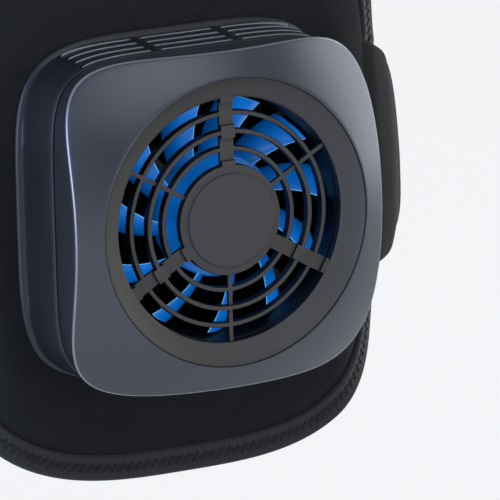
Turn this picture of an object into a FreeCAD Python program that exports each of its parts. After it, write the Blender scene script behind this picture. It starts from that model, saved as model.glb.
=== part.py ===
import FreeCAD, Part
import Sketcher
import math
import os
import re

# Wearable hot and cold therapy unit: a square pod with a fan, a heat sink and a
# thermoelectric element, clamped through the front panel of a soft limb wrap.
# Frame: origin on the axis of the limb, level with the fan's axle; +Z up the limb,
# the pod faces -Y, +X is to the right of someone who looks at the pod. Millimetres.
# "Depth" is the distance forward of the outer face of the wrap's flat front.

SIZES = {
    # soft wrap
    "flat_width": 94,          # flat front between the two bends
    "bend_radius": 36,         # outer face of the wrap where it turns back along the limb
    "panel_width": 135,        # straight across the bound edges
    "panel_height": 152,
    "panel_corner": 41,
    "fabric_thickness": 3,
    "liner_thickness": 6,
    "binding_width": 7,
    "binding_tape": 0.9,
    "strap_height": 52,
    "strap_rise": 1,           # middle of the straps above the fan's axle
    "seam_gap": 0.1,           # between a strap and the bound edge that it is sewn to
    "closure_thickness": 2.6,  # hook and loop together
    "closure_gap": 0.1,
    "hook_thickness": 1.1,
    "patch_margin": 5,
    # pod outline
    "pod_width": 88.3,         # at the parting line
    "pod_corner": 17.4,
    "face_width": 91.2,
    "base_width": 90.4,
    "flange_width": 93.8,
    "flange_corner": 22,
    "flange_thickness": 1.9,
    "flange_round": 0.9,
    "pod_wall": 2.1,
    "base_wall": 3.15,         # the rear half's wall where it meets the wrap
    "face_wall": 3.55,         # the front half's wall at the middle of a side of the face
    "parting_depth": 17.4,
    "parting_groove": 1.0,
    "groove_inset": 0.6,
    "lip_inset": 1.15,
    "lip_depth": 1.5,
    "face_depth": 33.1,        # the face at the middle of a side
    "dome_radius": 88.5,
    "fit_gap": 0.12,
    "running_gap": 0.3,
    "joint_overlap": 1,        # how far a bar or a cut runs into what it meets
    # grille
    "opening_gap": 0.2,        # the opening beyond the fan's bore
    "dish_width": 5.85,        # the dished rim, from the opening to its outer edge
    "dish_rise": 3.27,
    "grille_depth": 2.2,
    "grille_gap": 0.5,
    "rim_drop": 0.5,
    "ledge_width": 2.6,
    "ledge_thickness": 1.3,
    "collar_wall": 1.8,
    "ring_radius": 19,         # innermost of the three rings
    "ring_depth": 2.4,
    "ring_edge": 4.4,          # from the outermost ring to the opening
    "ring_width": 1.25,
    "notch_width": 6.1,        # the broad spokes step down to the first and the last ring
    "notch_depth": 1.1,        # those rings and the thin spokes lie this far behind the second ring
    "spoke_width": 4.1,
    "thin_spoke_width": 1.2,
    "hub_radius": 14.9,
    "hub_cap_radius": 12.6,
    "hub_cap_height": 0.9,
    "edge_round": 0.5,
    # vents
    "vent_width": 1.5,
    "vent_first": 3.4,
    "vent_last": 2,            # from the last row to the parting line
    "vent_margin": 4.05,       # from the end of a row to the side wall
    "vent_bridge": 2.4,
    "vent_bridge_offset": 12.1,
    # cooling stack
    "floor_thickness": 2,
    "element_inset": 15,       # from the heat sink's side to the element's
    "element_thickness": 3.8,
    "ceramic_thickness": 0.7,
    "pellet_width": 1.4,
    "pellet_edge": 2.15,
    "gasket_thickness": 2.8,
    "gasket_wall": 4.5,
    "sink_gap": 0.4,           # between the heat sink and the clamp bosses
    "sink_base": 3,
    "fin_thickness": 1.0,
    "fin_margin": 2.3,
    "well_radius": 4.2,
    "plate_width": 58,
    "plate_thickness": 3,
    "plate_corner": 5,
    "plate_proud": 0.5,
    "pedestal_edge": 1,
    "pedestal_corner": 2.5,
    "window_gap": 0.5,
    # clamp bezel
    "bezel_width": 83,
    "bezel_corner": 14,
    # fan
    "fan_gap": 0.5,
    "fan_rim": 2.2,            # the fan's case at its thinnest, beside the bore
    "screw_inset": 4.25,       # from the side of the fan and heat sink to a screw's axis
    "fan_corner": 5,
    "fan_flange": 3,
    "fan_depth": 13.2,
    "shroud_wall": 1.6,
    "base_step": 0.4,          # from the cup to the smaller base behind it
    "fan_base": 1.7,
    "strut_width": 2.4,
    "strut_depth": 2,
    "tip_gap": 1.2,
    "blade_rear_gap": 0.6,
    "blade_front_gap": 3.8,
    "blade_thickness": 1.2,
    "blade_root_chord": 8.1,
    "blade_tip_chord": 10.8,
    "rotor_radius": 16.5,
    "cup_wall": 1.1,
    "cup_gap": 1.1,
    "magnet_thickness": 1.4,
    "air_gap": 0.7,
    "shaft_radius": 1,
    "shaft_gap": 0.05,
    "bearing_radius": 3,
    "bearing_length": 2,
    "tube_wall": 0.7,
    "tube_length": 5,
    "board_thickness": 1,
    "core_thickness": 2.2,
    "core_stand": 1.2,
    "coil_thickness": 0.8,
    "core_hub_wall": 1.8,
    "light_width": 1.6,
    "light_height": 0.7,
    # screws
    "fan_screw_radius": 1.45,
    "fan_screw_head": 2.8,
    "fan_screw_bite": 8,
    "fan_boss": 3.4,
    "sink_screw_radius": 1.45,
    "sink_screw_head": 2.8,
    "sink_boss": 3.4,
    "clamp_screw_radius": 1.2,
    "clamp_screw_head": 2.4,
    "clamp_boss": 2.6,
    "clamp_boss_height": 7,
    "clamp_inset": 3.5,        # from the bezel's side to a clamp screw's axis
    "clamp_room": 4.05,        # from the pod's inner wall to a clamp screw's axis
    "clamp_drop": 11,          # the same two, from the top and the bottom
    "clamp_rise": 11.55,
    "clamp_sink": 2.4,
    "head_height": 1.7,
    "socket_radius": 0.8,
    "socket_depth": 1,
    "screw_gap": 0.1,
    # controls
    "control_standoff": 5.85,  # from the wall to the inner face of the control board
    "control_margin": 0.9,     # from the control board to the clamp bosses
    "control_depth": 14.6,
    "control_board": 1.2,
    "rail_width": 1,
    "rail_height": 4,
    "rail_up": 22,
    "button_depth": 9.5,
    "power_button_up": 18,
    "button_pitch": 14,
    "button_length": 10.6,
    "button_width": 5.6,
    "button_proud": 0.9,
    "button_flange": 0.9,
    "button_flange_edge": 0.8,
    "button_travel": 0.5,
    "switch_width": 6,
    "switch_height": 2.6,
    "plunger_radius": 1.6,
    "plunger_length": 2,
    "socket_up": -13,
    "port_width": 8.94,
    "port_height": 3.2,
    "port_wall": 0.3,
    "port_cavity": 6,
    "tongue_width": 6.7,
    "tongue_thickness": 0.7,
    "tongue_length": 4.4,
    # battery
    "cell_thickness": 5,
    "cell_depth": 23,
    "cell_margin": 2.9,        # from the battery to the clamp bosses
}

# Degrees: round the back from the right-hand side, and for the fan's blades.
ANGLES = {
    "right_strap_end": 118,
    "left_strap_end": 62,
    "hook_start": 80,
    "hook_end": 115,
    "loop_start": 68,
    "loop_end": 114,
    "blade_root_pitch": 57,
    "blade_tip_pitch": 39,
    "blade_sweep": 17,
    "blade_phase": 25.1,       # where the root of the first blade rests
}

COUNTS = {"blades": 11, "fins": 15, "vent_rows": 4, "pellet_rows": 8, "grille_rings": 3, "grille_spokes": 3,
          "struts": 4, "poles": 4}

# Places worked out from the sizes.
PLACES = {
    "front_plane": "bend_radius",
    "loop_radius": "flat_width / 2 + bend_radius",
    "fabric_back": "-fabric_thickness",
    "liner_back": "-(fabric_thickness + liner_thickness)",
    "plate_face": "liner_back - plate_proud",
    "plate_back": "plate_face + plate_thickness",
    "cavity_half": "pod_width / 2 - pod_wall",
    "cavity_corner": "pod_corner - pod_wall",
    "base_inner": "base_width / 2 - base_wall",
    "face_inner": "face_width / 2 - face_wall",
    "room_half": "min(base_inner; cavity_half)",
    "clamp_screw_across": "min(bezel_width / 2 - clamp_inset; room_half - clamp_room)",
    "clamp_screw_up": "min(bezel_width / 2 - clamp_drop; room_half - clamp_rise)",
    "sink_width": "2 * (clamp_screw_across - clamp_boss - sink_gap)",
    "fin_pitch": "(sink_width - 2 * fin_margin - fin_thickness) / (fins - 1)",
    "element_width": "sink_width - 2 * element_inset",
    "pellet_pitch": "(element_width - 2 * pellet_edge - pellet_width) / (pellet_rows - 1)",
    "pedestal_width": "element_width + 2 * pedestal_edge",
    "window_half": "pedestal_width / 2 + window_gap",
    "window_corner": "pedestal_corner + window_gap",
    "gasket_width": "2 * (window_half + gasket_wall)",
    "fan_width": "sink_width",
    "screw_place": "fan_width / 2 - screw_inset",
    "fan_bore": "fan_width / 2 - fan_rim",
    "blade_tip": "fan_bore - tip_gap",
    "opening_radius": "fan_bore + opening_gap",
    "dish_radius": "opening_radius + dish_width",
    "ring_pitch": "(opening_radius - ring_edge - ring_radius) / (grille_rings - 1)",
    "dome_centre": "face_depth - sqrt(dome_radius ^ 2 - (face_width / 2) ^ 2)",
    "dome_inner_radius": "dome_radius - pod_wall",
    "apex_depth": "dome_centre + dome_radius",
    "cover_back": "parting_depth + parting_groove",
    "flare": "(face_width - pod_width) / 2 / (face_depth - cover_back)",
    "draw_in": "(base_width - pod_width) / 2",
    "rim_front": "dome_centre + sqrt(dome_radius ^ 2 - dish_radius ^ 2) - rim_drop",
    "grille_front": "rim_front - dish_rise",
    "grille_back": "grille_front - grille_depth",
    "fan_front": "grille_back - grille_gap",
    "fan_back": "fan_front - fan_depth",
    "fan_step": "fan_back + fan_flange",
    "fin_top": "fan_back - fan_gap",
    "sink_back": "floor_thickness + gasket_thickness",
    "sink_floor": "sink_back + sink_base",
    "fin_height": "fin_top - sink_floor",
    "element_back": "sink_back - element_thickness",
    "grille_radius": "dish_radius - fit_gap",
    "ledge_inner": "dish_radius - ledge_width",
    "low_front": "grille_front - notch_depth",
    "vent_pitch": "(parting_depth - vent_first - vent_last) / (vent_rows - 1)",
    "vent_reach": "room_half - vent_margin",
    "vent_root": "room_half - 3 * pod_wall",
    "vent_high": "max(base_width; pod_width) / 2 + pod_wall - vent_root",
    "board_back": "fan_back + fan_base",
    "board_front": "board_back + board_thickness",
    "core_back": "board_front + core_stand",
    "tube_radius": "bearing_radius + tube_wall",
    "tube_front": "board_back + tube_length",
    "cup_back": "board_back + cup_gap",
    "blade_back": "fan_back + strut_depth + blade_rear_gap",
    "blade_front": "fan_front - blade_front_gap",
    "cup_front": "blade_front",
    "cup_inner": "rotor_radius - cup_wall",
    "fan_base_radius": "rotor_radius - base_step",
    "magnet_inner": "cup_inner - magnet_thickness",
    "core_radius": "magnet_inner - air_gap",
    "closure_offset": "(fabric_thickness + closure_thickness) / 2",
    "right_radius": "loop_radius + closure_offset",
    "left_radius": "loop_radius - closure_offset",
    "wall_outer": "base_width / 2 - draw_in * button_depth / parting_depth",
    "flange_outer_face": "room_half - running_gap",
    "flange_inner_face": "flange_outer_face - button_flange",
    "mode_button_up": "power_button_up - button_pitch",
    "control_across": "room_half - control_standoff",
    "control_height": "2 * (clamp_screw_up - clamp_boss - control_margin)",
    "cell_height": "2 * (clamp_screw_up - clamp_boss - cell_margin)",
    "switch_back": "control_across + control_board",
    "switch_front": "switch_back + switch_height",
}

doc = FreeCAD.newDocument("therapy_wrap")
sheet = doc.addObject("Spreadsheet::Sheet", "Sizes")
places = doc.addObject("App::VarSet", "Places")
known = {}
sub_parts = []
vector = FreeCAD.Vector


def full(formula):
    """Put the owner's name before each size and place that a formula uses."""
    return re.sub(r"[a-z][a-z_]*", lambda word: known.get(word.group(), word.group()), formula)


def fill_sheet():
    for row, (alias, number_) in enumerate({**SIZES, **ANGLES, **COUNTS}.items(), start=1):
        sheet.set("A%d" % row, alias.replace("_", " "))
        sheet.set("B%d" % row, str(number_))
        sheet.setAlias("B%d" % row, alias)
        known[alias] = "Sizes." + alias
    doc.recompute()
    for name, formula in PLACES.items():
        places.addProperty("App::PropertyFloat", name)
        places.setExpression(name, full(formula))
        known[name] = "Places." + name
    places.addProperty("App::PropertyFloat", "answer")
    doc.recompute()


def number(formula):
    """The value of a formula, for shapes that are worked out point by point."""
    places.setExpression("answer", full(formula))
    places.recompute()
    result = places.answer
    places.setExpression("answer", None)
    return result


def bind(item, **formulas):
    for prop, formula in formulas.items():
        item.setExpression(prop, full(formula))
    return item


def put(item, across="0", depth="0", up="0"):
    """Place an item by its distances across, forward of the wrap and up."""
    item.setExpression("Placement.Base.x", full(across))
    item.setExpression("Placement.Base.y", full("-(front_plane + %s)" % depth))
    item.setExpression("Placement.Base.z", full(up))
    return item


def finish(item, name):
    item.Label = name
    sub_parts.append(item)
    return item


# ---------------------------------------------------------------- primitives

def disc(radius, length, depth, across="0", up="0"):
    """A cylinder whose axis runs forward, from the given depth."""
    item = doc.addObject("Part::Cylinder", "disc")
    item.Placement = FreeCAD.Placement(vector(0, 0, 0), FreeCAD.Rotation(vector(1, 0, 0), 90))
    bind(item, Radius=radius, Height=length)
    return put(item, across, depth, up)


def side_disc(radius, length, across, depth, up):
    """A cylinder whose axis runs to the right, from the given distance across."""
    item = doc.addObject("Part::Cylinder", "side_disc")
    item.Placement = FreeCAD.Placement(vector(0, 0, 0), FreeCAD.Rotation(vector(0, 1, 0), 90))
    bind(item, Radius=radius, Height=length)
    return put(item, across, depth, up)


def block(wide, high, length, depth, across="0", up="0"):
    """A box, centred across and up, that runs forward from the given depth."""
    item = doc.addObject("Part::Box", "block")
    bind(item, Length=wide, Width=length, Height=high)
    left, bottom = "%s - (%s) / 2" % (across, wide), "%s - (%s) / 2" % (up, high)
    return put(item, left, "%s + %s" % (depth, length), bottom)


def side_block(start, length, high, deep, depth, up):
    """A box that runs to the right from start, centred on the given depth and height."""
    item = doc.addObject("Part::Box", "side_block")
    bind(item, Length=length, Width=deep, Height=high)
    return put(item, start, "%s + (%s) / 2" % (depth, deep), "%s - (%s) / 2" % (up, high))


def compound(items, name="group"):
    item = doc.addObject("Part::Compound", name)
    item.Links = items
    return item


def fuse(items, name="joined"):
    item = doc.addObject("Part::MultiFuse", name)
    item.Shapes = items
    return item


def cut(base, tools, name="cut"):
    item = doc.addObject("Part::Cut", name)
    item.Base = base
    item.Tool = tools[0] if len(tools) == 1 else compound(tools)
    return item


def common(items, name="common"):
    item = doc.addObject("Part::MultiCommon", name)
    item.Shapes = items
    return item


def four_corners(make, across, up):
    return [make("%s * (%s)" % (x, across), "%s * (%s)" % (z, up)) for x in (-1, 1) for z in (-1, 1)]


# ------------------------------------------------------- bodies with sketches

def new_body(name):
    return doc.addObject("PartDesign::Body", name)


def new_sketch(body, role, offset="0"):
    sketch = body.newObject("Sketcher::SketchObject", "outline")
    plane = [item for item in body.Origin.OriginFeatures if item.Role == role][0]
    sketch.AttachmentSupport = [(plane, "")]
    sketch.MapMode = "FlatFace"
    sketch.setExpression("AttachmentOffset.Base.z", full(offset))
    return sketch


def dimension(sketch, kind, places_, formula):
    index = sketch.addConstraint(Sketcher.Constraint(kind, *places_, number(formula)))
    sketch.setExpression("Constraints[%d]" % index, full(formula))


def rounded_outline(body, half_x, half_z, corner, depth):
    """A rectangle with rounded corners about the pod's axis, facing forward."""
    sketch = new_sketch(body, "XZ_Plane", "front_plane + %s" % depth)
    x, z, r = number(half_x), number(half_z), number(corner)
    centres = [(x - r, r - z), (x - r, z - r), (r - x, z - r), (r - x, r - z)]
    for turn, (cx, cz) in enumerate(centres):
        circle = Part.Circle(vector(cx, cz, 0), vector(0, 0, 1), r)
        start = math.radians(90 * (turn - 1))
        sketch.addGeometry(Part.ArcOfCircle(circle, start, start + math.pi / 2))
    ends = [(x, r - z, x, z - r), (x - r, z, r - x, z), (-x, z - r, -x, r - z), (r - x, -z, x - r, -z)]
    for ax, az, bx, bz in ends:
        sketch.addGeometry(Part.LineSegment(vector(ax, az, 0), vector(bx, bz, 0)))
    for turn in range(4):
        line = 4 + turn
        sketch.addConstraint(Sketcher.Constraint("Tangent", turn, 2, line, 1))
        sketch.addConstraint(Sketcher.Constraint("Tangent", line, 2, (turn + 1) % 4, 1))
    sketch.addConstraint(Sketcher.Constraint("Vertical", 4))
    sketch.addConstraint(Sketcher.Constraint("Horizontal", 5))
    for turn in (1, 2, 3):
        sketch.addConstraint(Sketcher.Constraint("Equal", 0, turn))
    sketch.addConstraint(Sketcher.Constraint("Symmetric", 0, 3, 2, 3, -1, 1))
    dimension(sketch, "Radius", [0], corner)
    dimension(sketch, "DistanceX", [2, 3, 0, 3], "2 * (%s - (%s))" % (half_x, corner))
    dimension(sketch, "DistanceY", [0, 3, 1, 3], "2 * (%s - (%s))" % (half_z, corner))
    return sketch


def pad(body, sketch, length):
    feature = body.newObject("PartDesign::Pad", "pad")
    feature.Profile = sketch
    return bind(feature, Length=length)


def tile(name, half, corner, length, depth, half_up=None):
    """A plate with rounded corners that runs forward from the given depth."""
    body = new_body(name)
    pad(body, rounded_outline(body, half, half_up or half, corner, depth), length)
    return body


def tapered(name, half, corner, length, spread, depth):
    """A tile whose sides lean out by spread for each millimetre forward."""
    body = new_body(name)
    feature = pad(body, rounded_outline(body, half, half, corner, depth), length)
    bind(feature, TaperAngle="atan(%s)" % spread)
    return body


def turned(name, profile):
    """A solid of revolution about the pod's axis from (radius, depth) corners."""
    body = new_body(name)
    sketch = new_sketch(body, "XY_Plane")
    corners = [(number(radius), -number("front_plane + %s" % depth)) for radius, depth in profile]
    count = len(corners)
    for index, (x, y) in enumerate(corners):
        x_next, y_next = corners[(index + 1) % count]
        sketch.addGeometry(Part.LineSegment(vector(x, y, 0), vector(x_next, y_next, 0)))
    for index in range(count):
        sketch.addConstraint(Sketcher.Constraint("Coincident", index, 2, (index + 1) % count, 1))
    for index, (radius, depth) in enumerate(profile):
        if number(radius) == 0:
            sketch.addConstraint(Sketcher.Constraint("PointOnObject", index, 1, -2))
        else:
            dimension(sketch, "DistanceX", [-1, 1, index, 1], radius)
        dimension(sketch, "DistanceY", [index, 1, -1, 1], "front_plane + %s" % depth)
    feature = body.newObject("PartDesign::Revolution", "turn")
    feature.Profile = sketch
    feature.ReferenceAxis = (sketch, ["V_Axis"])
    feature.Angle = 360
    return body


def rounded_edges(item, radius, wanted):
    """Round the edges of an item that a test picks by their middle point."""
    doc.recompute()
    edges = [index for index, edge in enumerate(item.Shape.Edges, start=1)
             if wanted(edge.valueAt((edge.FirstParameter + edge.LastParameter) / 2))]
    rounding = doc.addObject("Part::Fillet", "rounded")
    rounding.Base = item
    rounding.Edges = [(index, number(radius), number(radius)) for index in edges]
    return rounding


# ------------------------------------------------------------------ soft wrap

def oval(radius):
    """The upright oval that the wrap's front is bent round, at one radius of the bend."""
    middle = doc.addObject("Part::Box", "middle")
    bind(middle, Length="flat_width", Width="2 * (%s)" % radius, Height="2 * panel_height")
    middle.setExpression("Placement.Base.x", full("-flat_width / 2"))
    middle.setExpression("Placement.Base.y", full("-(%s)" % radius))
    middle.setExpression("Placement.Base.z", full("-panel_height"))
    ends = []
    for side in (-1, 1):
        end = doc.addObject("Part::Cylinder", "bend")
        bind(end, Radius=radius, Height="2 * panel_height")
        end.setExpression("Placement.Base.x", full("%d * flat_width / 2" % side))
        end.setExpression("Placement.Base.z", full("-panel_height"))
        ends.append(end)
    return fuse([middle] + ends, "oval")


def panel_prism(inset, start="-front_plane", length="front_plane + binding_width"):
    """The panel's outline, drawn in from its edge, as a prism along the depth."""
    return tile("panel_prism", "panel_width / 2 - %s" % inset, "panel_corner - %s" % inset, length, start,
                "panel_height / 2 - %s" % inset)


def bent_layer(inset, outer, inner):
    """One layer of the panel, between two depths, as far as its outline."""
    shell = cut(oval("bend_radius + %s" % outer), [oval("bend_radius + %s" % inner)])
    return common([shell, panel_prism(inset)])


def clamp_holes(radius, length, depth):
    return four_corners(lambda x, z: disc(radius, length, depth, x, z),
                        "clamp_screw_across", "clamp_screw_up")


def outer_panel():
    window = tile("panel_window", "window_half", "window_corner",
                  "3 * fabric_thickness", "-2 * fabric_thickness")
    holes = clamp_holes("clamp_screw_radius + screw_gap", "3 * fabric_thickness", "-2 * fabric_thickness")
    finish(cut(bent_layer("binding_tape", "0", "fabric_back"), [window] + holes), "outer_panel")


def liner_pad():
    window = tile("liner_window", "bezel_width / 2 + running_gap", "bezel_corner + running_gap",
                  "2 * liner_thickness", "liner_back - liner_thickness / 2")
    finish(cut(bent_layer("binding_tape", "fabric_back", "liner_back"), [window]), "liner_pad")


def edge_binding():
    """Tape folded over the edges of the panel and the liner, and sewn through them."""
    front = cut(bent_layer("0", "binding_tape", "0"), [panel_prism("binding_width")])
    back = cut(bent_layer("0", "liner_back", "liner_back - binding_tape"), [panel_prism("binding_width")])
    web = cut(bent_layer("0", "0", "liner_back"), [panel_prism("binding_tape")])
    finish(fuse([front, back, web]), "edge_binding")


def sector(centre, outer, inner, start, end, height, rise):
    """An upright strip of a tube's wall between two angles."""
    skin = doc.addObject("Part::Cylinder", "sector")
    bind(skin, Radius=outer, Height=height, Angle="(%s) - (%s)" % (end, start))
    core = doc.addObject("Part::Cylinder", "core")
    bind(core, Radius=inner, Height=height)
    skin.Placement = FreeCAD.Placement(vector(0, 0, 0), FreeCAD.Rotation(vector(0, 0, 1), number(start)))
    for item in (skin, core):
        item.setExpression("Placement.Base.x", full(centre))
        item.setExpression("Placement.Base.z", full("%s - (%s) / 2" % (rise, height)))
    return cut(skin, [core])


def strap(side, name):
    """A side strap: the front bend, then half way round the back."""
    front_start, front_end = ("-90", "0") if side > 0 else ("180", "270")
    rear_radius = "right_radius" if side > 0 else "left_radius"
    rear_start, rear_end = ("0", "right_strap_end") if side > 0 else ("left_strap_end", "180")
    front = sector("%d * flat_width / 2" % side, "bend_radius", "bend_radius - fabric_thickness",
                   front_start, front_end, "strap_height", "strap_rise")
    beyond = doc.addObject("Part::Box", "beyond_the_panel")
    bind(beyond, Length="loop_radius", Width="2 * bend_radius", Height="2 * panel_height")
    start = "panel_width / 2 + seam_gap"
    beyond.setExpression("Placement.Base.x", full(start if side > 0 else "-(%s) - loop_radius" % start))
    beyond.setExpression("Placement.Base.y", full("-2 * bend_radius"))
    beyond.setExpression("Placement.Base.z", full("-panel_height"))
    rear = sector("-closure_offset", rear_radius, "%s - fabric_thickness" % rear_radius,
                  rear_start, rear_end, "strap_height", "strap_rise")
    finish(fuse([common([front, beyond]), rear]), name)


def closure():
    """Hook patch inside the end of the right strap, loop patch outside the left one."""
    height = "strap_height - 2 * patch_margin"
    hook_outer = "right_radius - fabric_thickness"
    finish(sector("-closure_offset", hook_outer, "%s - hook_thickness" % hook_outer,
                  "hook_start", "hook_end", height, "strap_rise"), "hook_patch")
    loop_outer = "left_radius + closure_thickness - hook_thickness - closure_gap"
    finish(sector("-closure_offset", loop_outer, "left_radius",
                  "loop_start", "loop_end", height, "strap_rise"), "loop_patch")


# ------------------------------------------------------------- pod's housing

def vent_slots():
    """Rows of slots through the top and bottom walls, in three runs across."""
    slots = []
    middle = "2 * vent_bridge_offset - vent_bridge"
    outer = "vent_reach - vent_bridge_offset - vent_bridge / 2"
    outer_place = "(vent_reach + vent_bridge_offset + vent_bridge / 2) / 2"
    for row in range(COUNTS["vent_rows"]):
        depth = "vent_first - vent_width / 2 + %d * vent_pitch" % row
        for side in (-1, 1):
            up = "%d * (vent_root + vent_high / 2)" % side
            slots.append(block(middle, "vent_high", "vent_width", depth, "0", up))
            for hand in (-1, 1):
                across = "%d * (%s)" % (hand, outer_place)
                slots.append(block(outer, "vent_high", "vent_width", depth, across, up))
    return slots


def stadium(start, length, long_, wide, depth, up):
    """A bar with round ends that runs to the right; long is up, wide is along the depth."""
    straight = "(%s) - (%s)" % (long_, wide)
    ends = [side_disc("(%s) / 2" % wide, length, start, depth, "%s + %d * (%s) / 2" % (up, side, straight))
            for side in (-1, 1)]
    return fuse([side_block(start, length, straight, wide, depth, up)] + ends)


def rear_housing():
    shell = tapered("housing_wall", "base_width / 2", "pod_corner + draw_in", "parting_depth",
                    "-draw_in / parting_depth", "0")
    flange = rounded_edges(tile("flange", "flange_width / 2", "flange_corner", "flange_thickness", "0"),
                           "flange_round",
                           lambda middle: middle.y < -number("front_plane + flange_thickness / 2"))
    cavity = tapered("housing_cavity", "base_inner", "cavity_corner + base_inner - cavity_half",
                     "parting_depth", "(cavity_half - base_inner) / parting_depth", "floor_thickness")
    rabbet = tile("rabbet", "pod_width / 2 - lip_inset + fit_gap", "pod_corner - lip_inset + fit_gap",
                  "lip_depth + parting_groove", "parting_depth - lip_depth - fit_gap")
    window = tile("housing_window", "window_half", "window_corner", "3 * floor_thickness", "-floor_thickness")
    sink_bosses = four_corners(lambda x, z: disc("sink_boss", "gasket_thickness + floor_thickness / 2",
                                                 "floor_thickness / 2", x, z), "screw_place", "screw_place")
    sink_holes = four_corners(lambda x, z: disc("sink_screw_radius + screw_gap", "sink_back",
                                                "floor_thickness / 2", x, z), "screw_place", "screw_place")
    clamp_bosses = clamp_holes("clamp_boss", "clamp_boss_height + floor_thickness / 2", "floor_thickness / 2")
    clamp_bores = clamp_holes("clamp_screw_radius + screw_gap", "clamp_boss_height + 2 * floor_thickness",
                              "-floor_thickness")
    rails = [block("rail_width", "rail_width", "rail_height + floor_thickness / 2", "floor_thickness / 2",
                   across, "%d * rail_up" % side)
             for across in ("control_across - fit_gap - rail_width / 2",
                            "control_across + control_board + fit_gap + rail_width / 2")
             for side in (-1, 1)]
    hollow = cut(fuse([shell, flange]), [cavity])
    fitted = fuse([hollow] + sink_bosses + clamp_bosses + rails)
    start = "flange_outer_face - pod_wall"
    length = "wall_outer + 2 * pod_wall - flange_outer_face"
    buttons = [stadium(start, length, "button_length + 2 * running_gap", "button_width + 2 * running_gap",
                       "button_depth", up) for up in ("power_button_up", "mode_button_up")]
    port = stadium(start, length, "port_width + 2 * fit_gap", "port_height + 2 * fit_gap",
                   "button_depth", "socket_up")
    tools = [rabbet, window, port] + buttons + sink_holes + clamp_bores + vent_slots()
    finish(cut(fitted, tools), "rear_housing")


def dome(radius):
    ball = doc.addObject("Part::Sphere", "dome")
    ball.Placement = FreeCAD.Placement(vector(0, 0, 0), FreeCAD.Rotation(vector(1, 0, 0), 90))
    bind(ball, Radius=radius)
    return put(ball, "0", "dome_centre", "0")


def front_cover():
    outer = common([tapered("cover_wall", "pod_width / 2", "pod_corner", "apex_depth - cover_back",
                            "flare", "cover_back"), dome("dome_radius")])
    groove = tile("groove_floor", "pod_width / 2 - groove_inset", "pod_corner - groove_inset",
                  "parting_groove + pod_wall / 2", "parting_depth")
    lip = tile("lip", "pod_width / 2 - lip_inset", "pod_corner - lip_inset",
               "lip_depth + parting_groove", "parting_depth - lip_depth")
    straight = tile("cover_cavity", "cavity_half", "cavity_corner", "parting_groove + 2 * lip_depth",
                    "parting_depth - 2 * lip_depth")
    leaning = tapered("cover_cavity", "cavity_half", "cavity_corner", "apex_depth - cover_back",
                      "(face_inner - cavity_half) / (face_depth - cover_back)", "cover_back")
    inner = common([fuse([straight, leaning]), dome("dome_inner_radius")])
    shell = cut(fuse([outer, groove, lip]), [inner])
    collar = disc("dish_radius + collar_wall", "rim_front - pod_wall - grille_back", "grille_back")
    posts = four_corners(lambda x, z: disc("fan_boss", "apex_depth - fan_step", "fan_step", x, z),
                         "screw_place", "screw_place")
    bosses = common([compound(posts), dome("dome_radius - pod_wall / 2")])
    mouth = disc("dish_radius", "apex_depth", "grille_back + ledge_thickness")
    throat = disc("ledge_inner", "apex_depth", "fan_step")
    pilots = four_corners(lambda x, z: disc("fan_screw_radius + screw_gap", "fan_screw_bite + screw_gap",
                                            "fan_step", x, z), "screw_place", "screw_place")
    finish(cut(fuse([shell, collar, bosses]), [mouth, throat] + pilots), "front_cover")


def ring(radius, width, length, depth):
    return cut(disc("%s + %s / 2" % (radius, width), length, depth),
               [disc("%s - %s / 2" % (radius, width), length, depth)])


def spoke(angle, width, inner, outer, depth, length):
    """A bar from one radius to another at an angle round the pod's axis."""
    item = doc.addObject("Part::Box", "spoke")
    bind(item, Length="%s - (%s)" % (outer, inner), Width=length, Height=width)
    turn = FreeCAD.Rotation(vector(0, -1, 0), angle)
    item.Placement = FreeCAD.Placement(vector(0, 0, 0), turn)
    along, off = "(%s)" % inner, "(-(%s) / 2)" % width
    put(item, "%s * cos(%g) - %s * sin(%g)" % (along, angle, off, angle), "%s + %s" % (depth, length),
        "%s * sin(%g) + %s * cos(%g)" % (along, angle, off, angle))
    return item


def stepped_spoke(angle, inner, outer):
    """A broad spoke that steps down where the first and the last ring cross it."""
    whole = spoke(angle, "spoke_width", inner, outer, "grille_back", "grille_depth")
    notches = []
    for index in (0, COUNTS["grille_rings"] - 1):
        middle = "ring_radius + %d * ring_pitch" % index
        notches.append(spoke(angle, "2 * spoke_width", "%s - notch_width / 2" % middle,
                             "%s + notch_width / 2" % middle, "low_front", "grille_depth"))
    return cut(whole, notches)


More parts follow.
